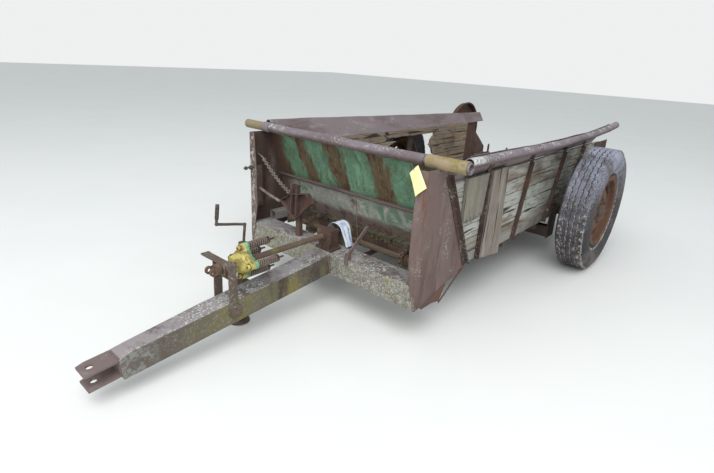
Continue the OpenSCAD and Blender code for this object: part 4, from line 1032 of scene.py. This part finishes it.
for name, side_sign in (("left", 1), ("right", -1)):
    tyre(side_sign).piece("tyre_" + name + "_worn", tyre_rubber, "wheel_" + name, ["tyre_" + name], smooth=50)
    worn("rim_" + name, rim_rust, 0.0015, 0.0008, 8.0, 0.03)
    worn("hub_" + name, dark_steel, 0.0015, 0.0, 0, 0)
print("tyre faces:", made["tyre_left_worn"])

# %% [markdown]
# ## The rest of the CAD nodes
# The floor chains and the long shaft under the floor have the right shape already, so they
# stay as they are. Only their material changes, by giving it to the node's own slots.

# %% Materials for the nodes that stay
for node in ("apron_chains", "line_shaft"):
    slots = frame["nodes"][node].data.materials
    for i in range(len(slots)):
        slots[i] = shaft_steel
    print(node, "keeps its mesh and gets", shaft_steel.name)

# %% [markdown]
# ## Bolts, welds and pins
# Rows of bolts hold boards to stakes and plates. They are small, but they catch the light
# and give the eye the machine's scale. All bolts of a kind go in one piece.

# %% Bolts through stakes, gussets and plates
# The length that the stakes share out, the height of their feet and how high they stand
STAKED = 2800
FOOT = 362
STAKE_HIGH = 562
# Place of each stake's foot and how far its top leans back, as in the drawing
LEFT_STAKES = [(0.208 * STAKED, 0), (0.404 * STAKED, 130), (0.625 * STAKED, 205), (0.754 * STAKED, 345)]
RIGHT_STAKES = [(s * STAKED, 0) for s in (0.154, 0.393, 0.666, 0.873)]
bolts = Shape()
for sign, stakes in ((1, LEFT_STAKES), (-1, RIGHT_STAKES)):
    for y, leans in stakes:
        for i in range(5):
            z = SILL + i * COURSE + HIGH / 2
            if y < 450 and z < 520:
                # The first right-hand stake's foot meets the corner angle and has no bolt
                continue
            place = at(sign * (HALF + 6), y + 4 + leans * (z - FOOT) / STAKE_HIGH, z)
            bolts.bolt(place, (sign, 0, 0), 0.008, 0.006)
    for t in (0.14, 0.3, 0.47, 0.64, 0.8):
        bolts.bolt(at(sign * (HALF + 12), 424 - 370 * t, 352 + 676 * t - 8), (sign, 0, 0), 0.009, 0.008)
    rear_bolts = [(y, z) for y in (2830, 2900) for z in (470, 640, 860)]
    rear_bolts += [(3320, 470), (3320, 640), (3420, 460)]
    for y, z in rear_bolts:
        bolts.bolt(at(sign * (HALF + 6), y, z), (sign, 0, 0), 0.009, 0.007)
bolts.piece("bolts", bolt_rust)
print("bolts:", made["bolts"])

# %% Weld beads
welds = Shape()


def bead(line, r=0.005):
    points = []
    line = [Vector(p) for p in line]
    for a, b in zip(line, line[1:]):
        n = max(2, round((b - a).length / 0.004))
        points += [a + (b - a) * k / n for k in range(n)]
    welds.tube(points + [line[-1]], lambda t, n=len(points): r * (0.85 + 0.3 * abs(math.sin(t * n * 1.1))), 6)


# How much the tongue slopes, and where its middle line meets the front beam
SLOPE = math.radians(5.6)
BEAM_Y = -110
BEAM_Z = 291


def on_tongue(x, y, z):
    """From the tongue's own sloping lengths to Blender's metres."""
    c, s = math.cos(SLOPE), math.sin(SLOPE)
    return at(x, BEAM_Y + y * c - z * s, BEAM_Z + y * s + z * c)


bead([on_tongue(72, -2, -62), on_tongue(72, -8, 62), on_tongue(-68, -8, 62), on_tongue(-68, -2, -62)])
bead([on_tongue(-50, -1330, 46), on_tongue(48, -1330, 46)], 0.004)
for sign in (1, -1):
    bead([at(sign * (HALF - 2), -112, 232), at(sign * (HALF - 40), -112, 356)], 0.004)
welds.piece("weld_beads", mauve_rust)
print("welds:", made["weld_beads"])

# %% [markdown]
# ## Control chain, rods and wires
# A chain runs from a hook on the far gusset down to the feed tray, and a flat rod runs
# below it. A thin wire ties the control lever to the rib. Each is swept along its own
# line: the chain link by link, with every other link turned a quarter.

# %% The chain, its hook and the bolt beside it
chain = Shape()
top_end, low_end = at(-655, -64, 847), at(-332, -110, 682)
span = low_end - top_end
LINKS = 21
SAG = 0.014
for k in range(LINKS):
    t = (k + 0.5) / LINKS
    middle = top_end + span * t + Vector((0, 0, -SAG * math.sin(math.pi * t)))
    along = (span + Vector((0, 0, -SAG * math.pi * math.cos(math.pi * t)))).normalized()
    across = along.orthogonal().normalized()
    if k % 2:
        across = along.cross(across)
    half, wide = span.length / LINKS * 0.74, 0.0098
    loop = [middle + along * (half * math.cos(a)) + across * (wide * math.sin(a)) for a in turn(16)]
    chain.tube(loop, 0.0028, 6, closed=True)
# A hook of bar from the far gusset's inner face takes the top link
hook = ((-727, -60, 872), (-712, -60, 871), (-680, -62, 862), (-660, -64, 853), (-652, -64, 842),
        (-660, -64, 834))
chain.tube([at(*p) for p in hook], 0.0045, 8)
chain.piece("feed_chain", chain_steel)
tie = Shape()
TIE_X, TIE_Z = -705, 785
tie.tube([at(TIE_X, y, TIE_Z) for y in (-114, -150, -196)], 0.0065, 12)
# The inner nut, a washer and the outer nut: place, radius, thickness, thickness at the hole, and sides
for y, r, thick, inner, sides in ((-130, 0.017, 0.012, 0.013, 6), (-144, 0.015, 0.003, 0.004, 20),
                                  (-174, 0.014, 0.011, 0.012, 6)):
    tie.turned([(0.006, 0), (r, 0), (r, thick), (0.006, inner)], at(TIE_X, y, TIE_Z), (0, -1, 0), sides)
tie.rough(0.0008, 60)
tie.piece("flange_bolt", dark_steel)
print("chain faces:", made["feed_chain"])

# %% Rods and wires
rods = Shape()
rods.tube([at(-676, -90, 640), at(-560, -100, 618), at(-428, -106, 597)], 0.009, 8, flat=0.28)
rods.bolt(at(-680, -117, 640), (0, -1, 0), 0.010, 0.008)
rods.tube([at(756, 96, 985), at(770, 140, 1010), at(786, 180, 1036)], 0.010, 8, flat=0.35)
rods.piece("feed_rod", mauve_rust)
wires = Shape()
tie_wire = ((60, 120, 722), (84, 100, 690), (132, 56, 618), (170, 22, 552), (208, -8, 484))
wires.tube([at(*p) for p in tie_wire], 0.0018, 6)
loop = [at(214 + 10 * math.cos(a), -12 + 14 * math.sin(a), 470 + 17 * math.cos(a)) for a in turn(12)]
wires.tube(loop, 0.0018, 6, closed=True)
wires.piece("lever_wire", shaft_steel)
print("rods:", made["feed_rod"], "wires:", made["lever_wire"])

# %% [markdown]
# ## The blank card
# A yellow card hangs by a twist of wire from the front pipe. It carries nothing here. It is
# one thin sheet, curled a little by damp, and its lower corner has lifted.

# %% Card and its wire
def card_paint():
    f = Finish("yellow_card", (244, 242, 168), 0.55)
    f.paint((232, 228, 140), f.cloud(0.45, 0.6, 14, EVEN, 5, 0.6, 0.3), 0.6)
    f.paint((250, 249, 204), f.cloud(0.52, 0.66, 30, EVEN, 5, 0.6, 0.3, 4), 0.6)
    f.relief(f.noise(50, EVEN, 4), 0.0004)
    return f.done()


card = Shape()
grid = 12
# The sheet's thickness and how far it curls and lifts, in millimetres
SHEET = 0.8
CURL = 7
LIFT = 12
# Corners (x, z) of the card in front of the gusset's flange: top left, top right, lower left, lower right
TOP_LEFT = Vector((629, 1002))
TOP_RIGHT = Vector((676, 1052))
LOW_LEFT = Vector((686, 889))
LOW_RIGHT = Vector((741, 945))
for side_y in (0.0, SHEET):
    pts = []
    for i in range(grid + 1):
        for j in range(grid + 1):
            u, v = i / grid, j / grid
            x, z = (TOP_LEFT * (1 - u) + TOP_RIGHT * u) * (1 - v) + (LOW_LEFT * (1 - u) + LOW_RIGHT * u) * v
            curl = CURL * math.sin(math.pi * u) * (0.4 + v) + LIFT * v * v * (1 - u)
            pts.append(at(x, -122 - curl + side_y, z))
    quads = grid_faces(grid, grid)
    card.add(pts, quads if side_y else [q[::-1] for q in quads])
back = (grid + 1) ** 2
row = grid + 1
card_rim = (list(range(row)) + [i * row + grid for i in range(1, row)]
            + [grid * row + j for j in range(grid - 1, -1, -1)] + [i * row for i in range(grid - 1, 0, -1)])
card.faces += [(a, b, b + back, a + back) for a, b in zip(card_rim, card_rim[1:] + card_rim[:1])]
card.piece("blank_card", card_paint(), smooth=60)
twist = Shape()
twist.tube([at(642, 31.5 * math.sin(a), 1058 + 31.5 * math.cos(a)) for a in turn(24)], 0.0012, 6, closed=True)
twist_line = ((642, -24, 1037), (644, -60, 1044), (650, -104, 1042), (656, -125, 1032), (658, -127, 1018))
twist.tube([at(*p) for p in twist_line], 0.0012, 6)
twist.piece("card_wire", dark_steel)
print("card:", made["blank_card"])

# %% [markdown]
# ## The pale rag
# A scrap of pale cloth lies over the shaft behind its bearing. A sheet this small is modelled
# as a strip that follows the shaft over the top and falls down both sides, with
# folds that open out towards its ends.

# %% Rag over the shaft
def cloth_paint():
    f = Finish("pale_cloth", (192, 203, 224), 0.9)
    f.paint((226, 232, 242), f.cloud(0.45, 0.6, 18, (1, 1, 0.5), 5, 0.6, 0.3), 0.7)
    f.paint((140, 150, 172), f.cloud(0.52, 0.64, 26, (1, 1, 0.4), 5, 0.6, 0.5, 4), 0.6)
    f.relief(f.noise(400, EVEN, 2), 0.0002).relief(f.noise(40, (1, 1, 0.4), 4), 0.0012)
    return f.done()


rag = Shape()
# Points along and across the cloth, the drive case's radius with the cloth on it, and the angles
# where the cloth leaves the case on its far and near side
LONG = 44
WIDE = 16
CASE = 62.5
LEAVES_FAR = 1.45
LEAVES_NEAR = 1.15
# The cloth's length, and the share of it that hangs on the far side
CLOTH = 300
TOP_SHARE = 0.36
path = []
for k in range(LONG + 1):
    s = (k / LONG - TOP_SHARE) * CLOTH
    a = max(-LEAVES_FAR, min(LEAVES_NEAR, s / CASE))
    free = s - a * CASE
    x, z = CASE * math.sin(a), SHAFT_Z + CASE * math.cos(a)
    if free < 0:
        z += free * 0.98
    elif free > 0:
        x += free * 0.34
        z -= free * 0.94
    path.append((x, z))
rows = []
for k, (x, z) in enumerate(path):
    t = k / LONG
    row = []
    for j in range(WIDE + 1):
        v = j / WIDE
        fold = 4.5 * math.sin(v * 13 + 0.7 * math.sin(t * 5)) * (0.2 + abs(t - TOP_SHARE) * 1.8)
        slump = 6 * noise.noise(Vector((t * 4, v * 3, 2))) + 30 * max(0.0, t - 0.4)
        wide = 96 - 60 * max(0.0, t - 0.4)
        row.append(at(x + fold * (1 if t > TOP_SHARE else -1), -2 + v * wide + slump, z + fold * 0.35))
    rows.append(row)
rag.add([p for r in rows for p in r], grid_faces(LONG, WIDE))
rag_piece = rag.piece("pale_rag", cloth_paint(), smooth=80)
thick = rag_piece.modifiers.new("cloth", "SOLIDIFY")
thick.thickness = 0.0012
print("rag:", made["pale_rag"], "faces before its thickness")

# %% [markdown]
# ## Floor
# The plain pale floor keeps the machine's shadow. To the camera it is nearly the colour of
# the world behind it, so the horizon hardly shows.

# %% The floor
ground = bpy.data.meshes.new("ground")
ground.from_pydata([(-40, -40, 0), (40, -40, 0), (40, 40, 0), (-40, 40, 0)], [], [(0, 1, 2, 3)])
soil = Finish("pale_floor", (226, 228, 226), 0.95)
soil.paint((230, 231, 229), soil.step(soil.noise(0.8, EVEN, 3), 0.4, 0.6), 0.5)
ground.materials.append(soil.done())
ground_object = bpy.data.objects.new("ground", ground)
bpy.context.scene.collection.objects.link(ground_object)
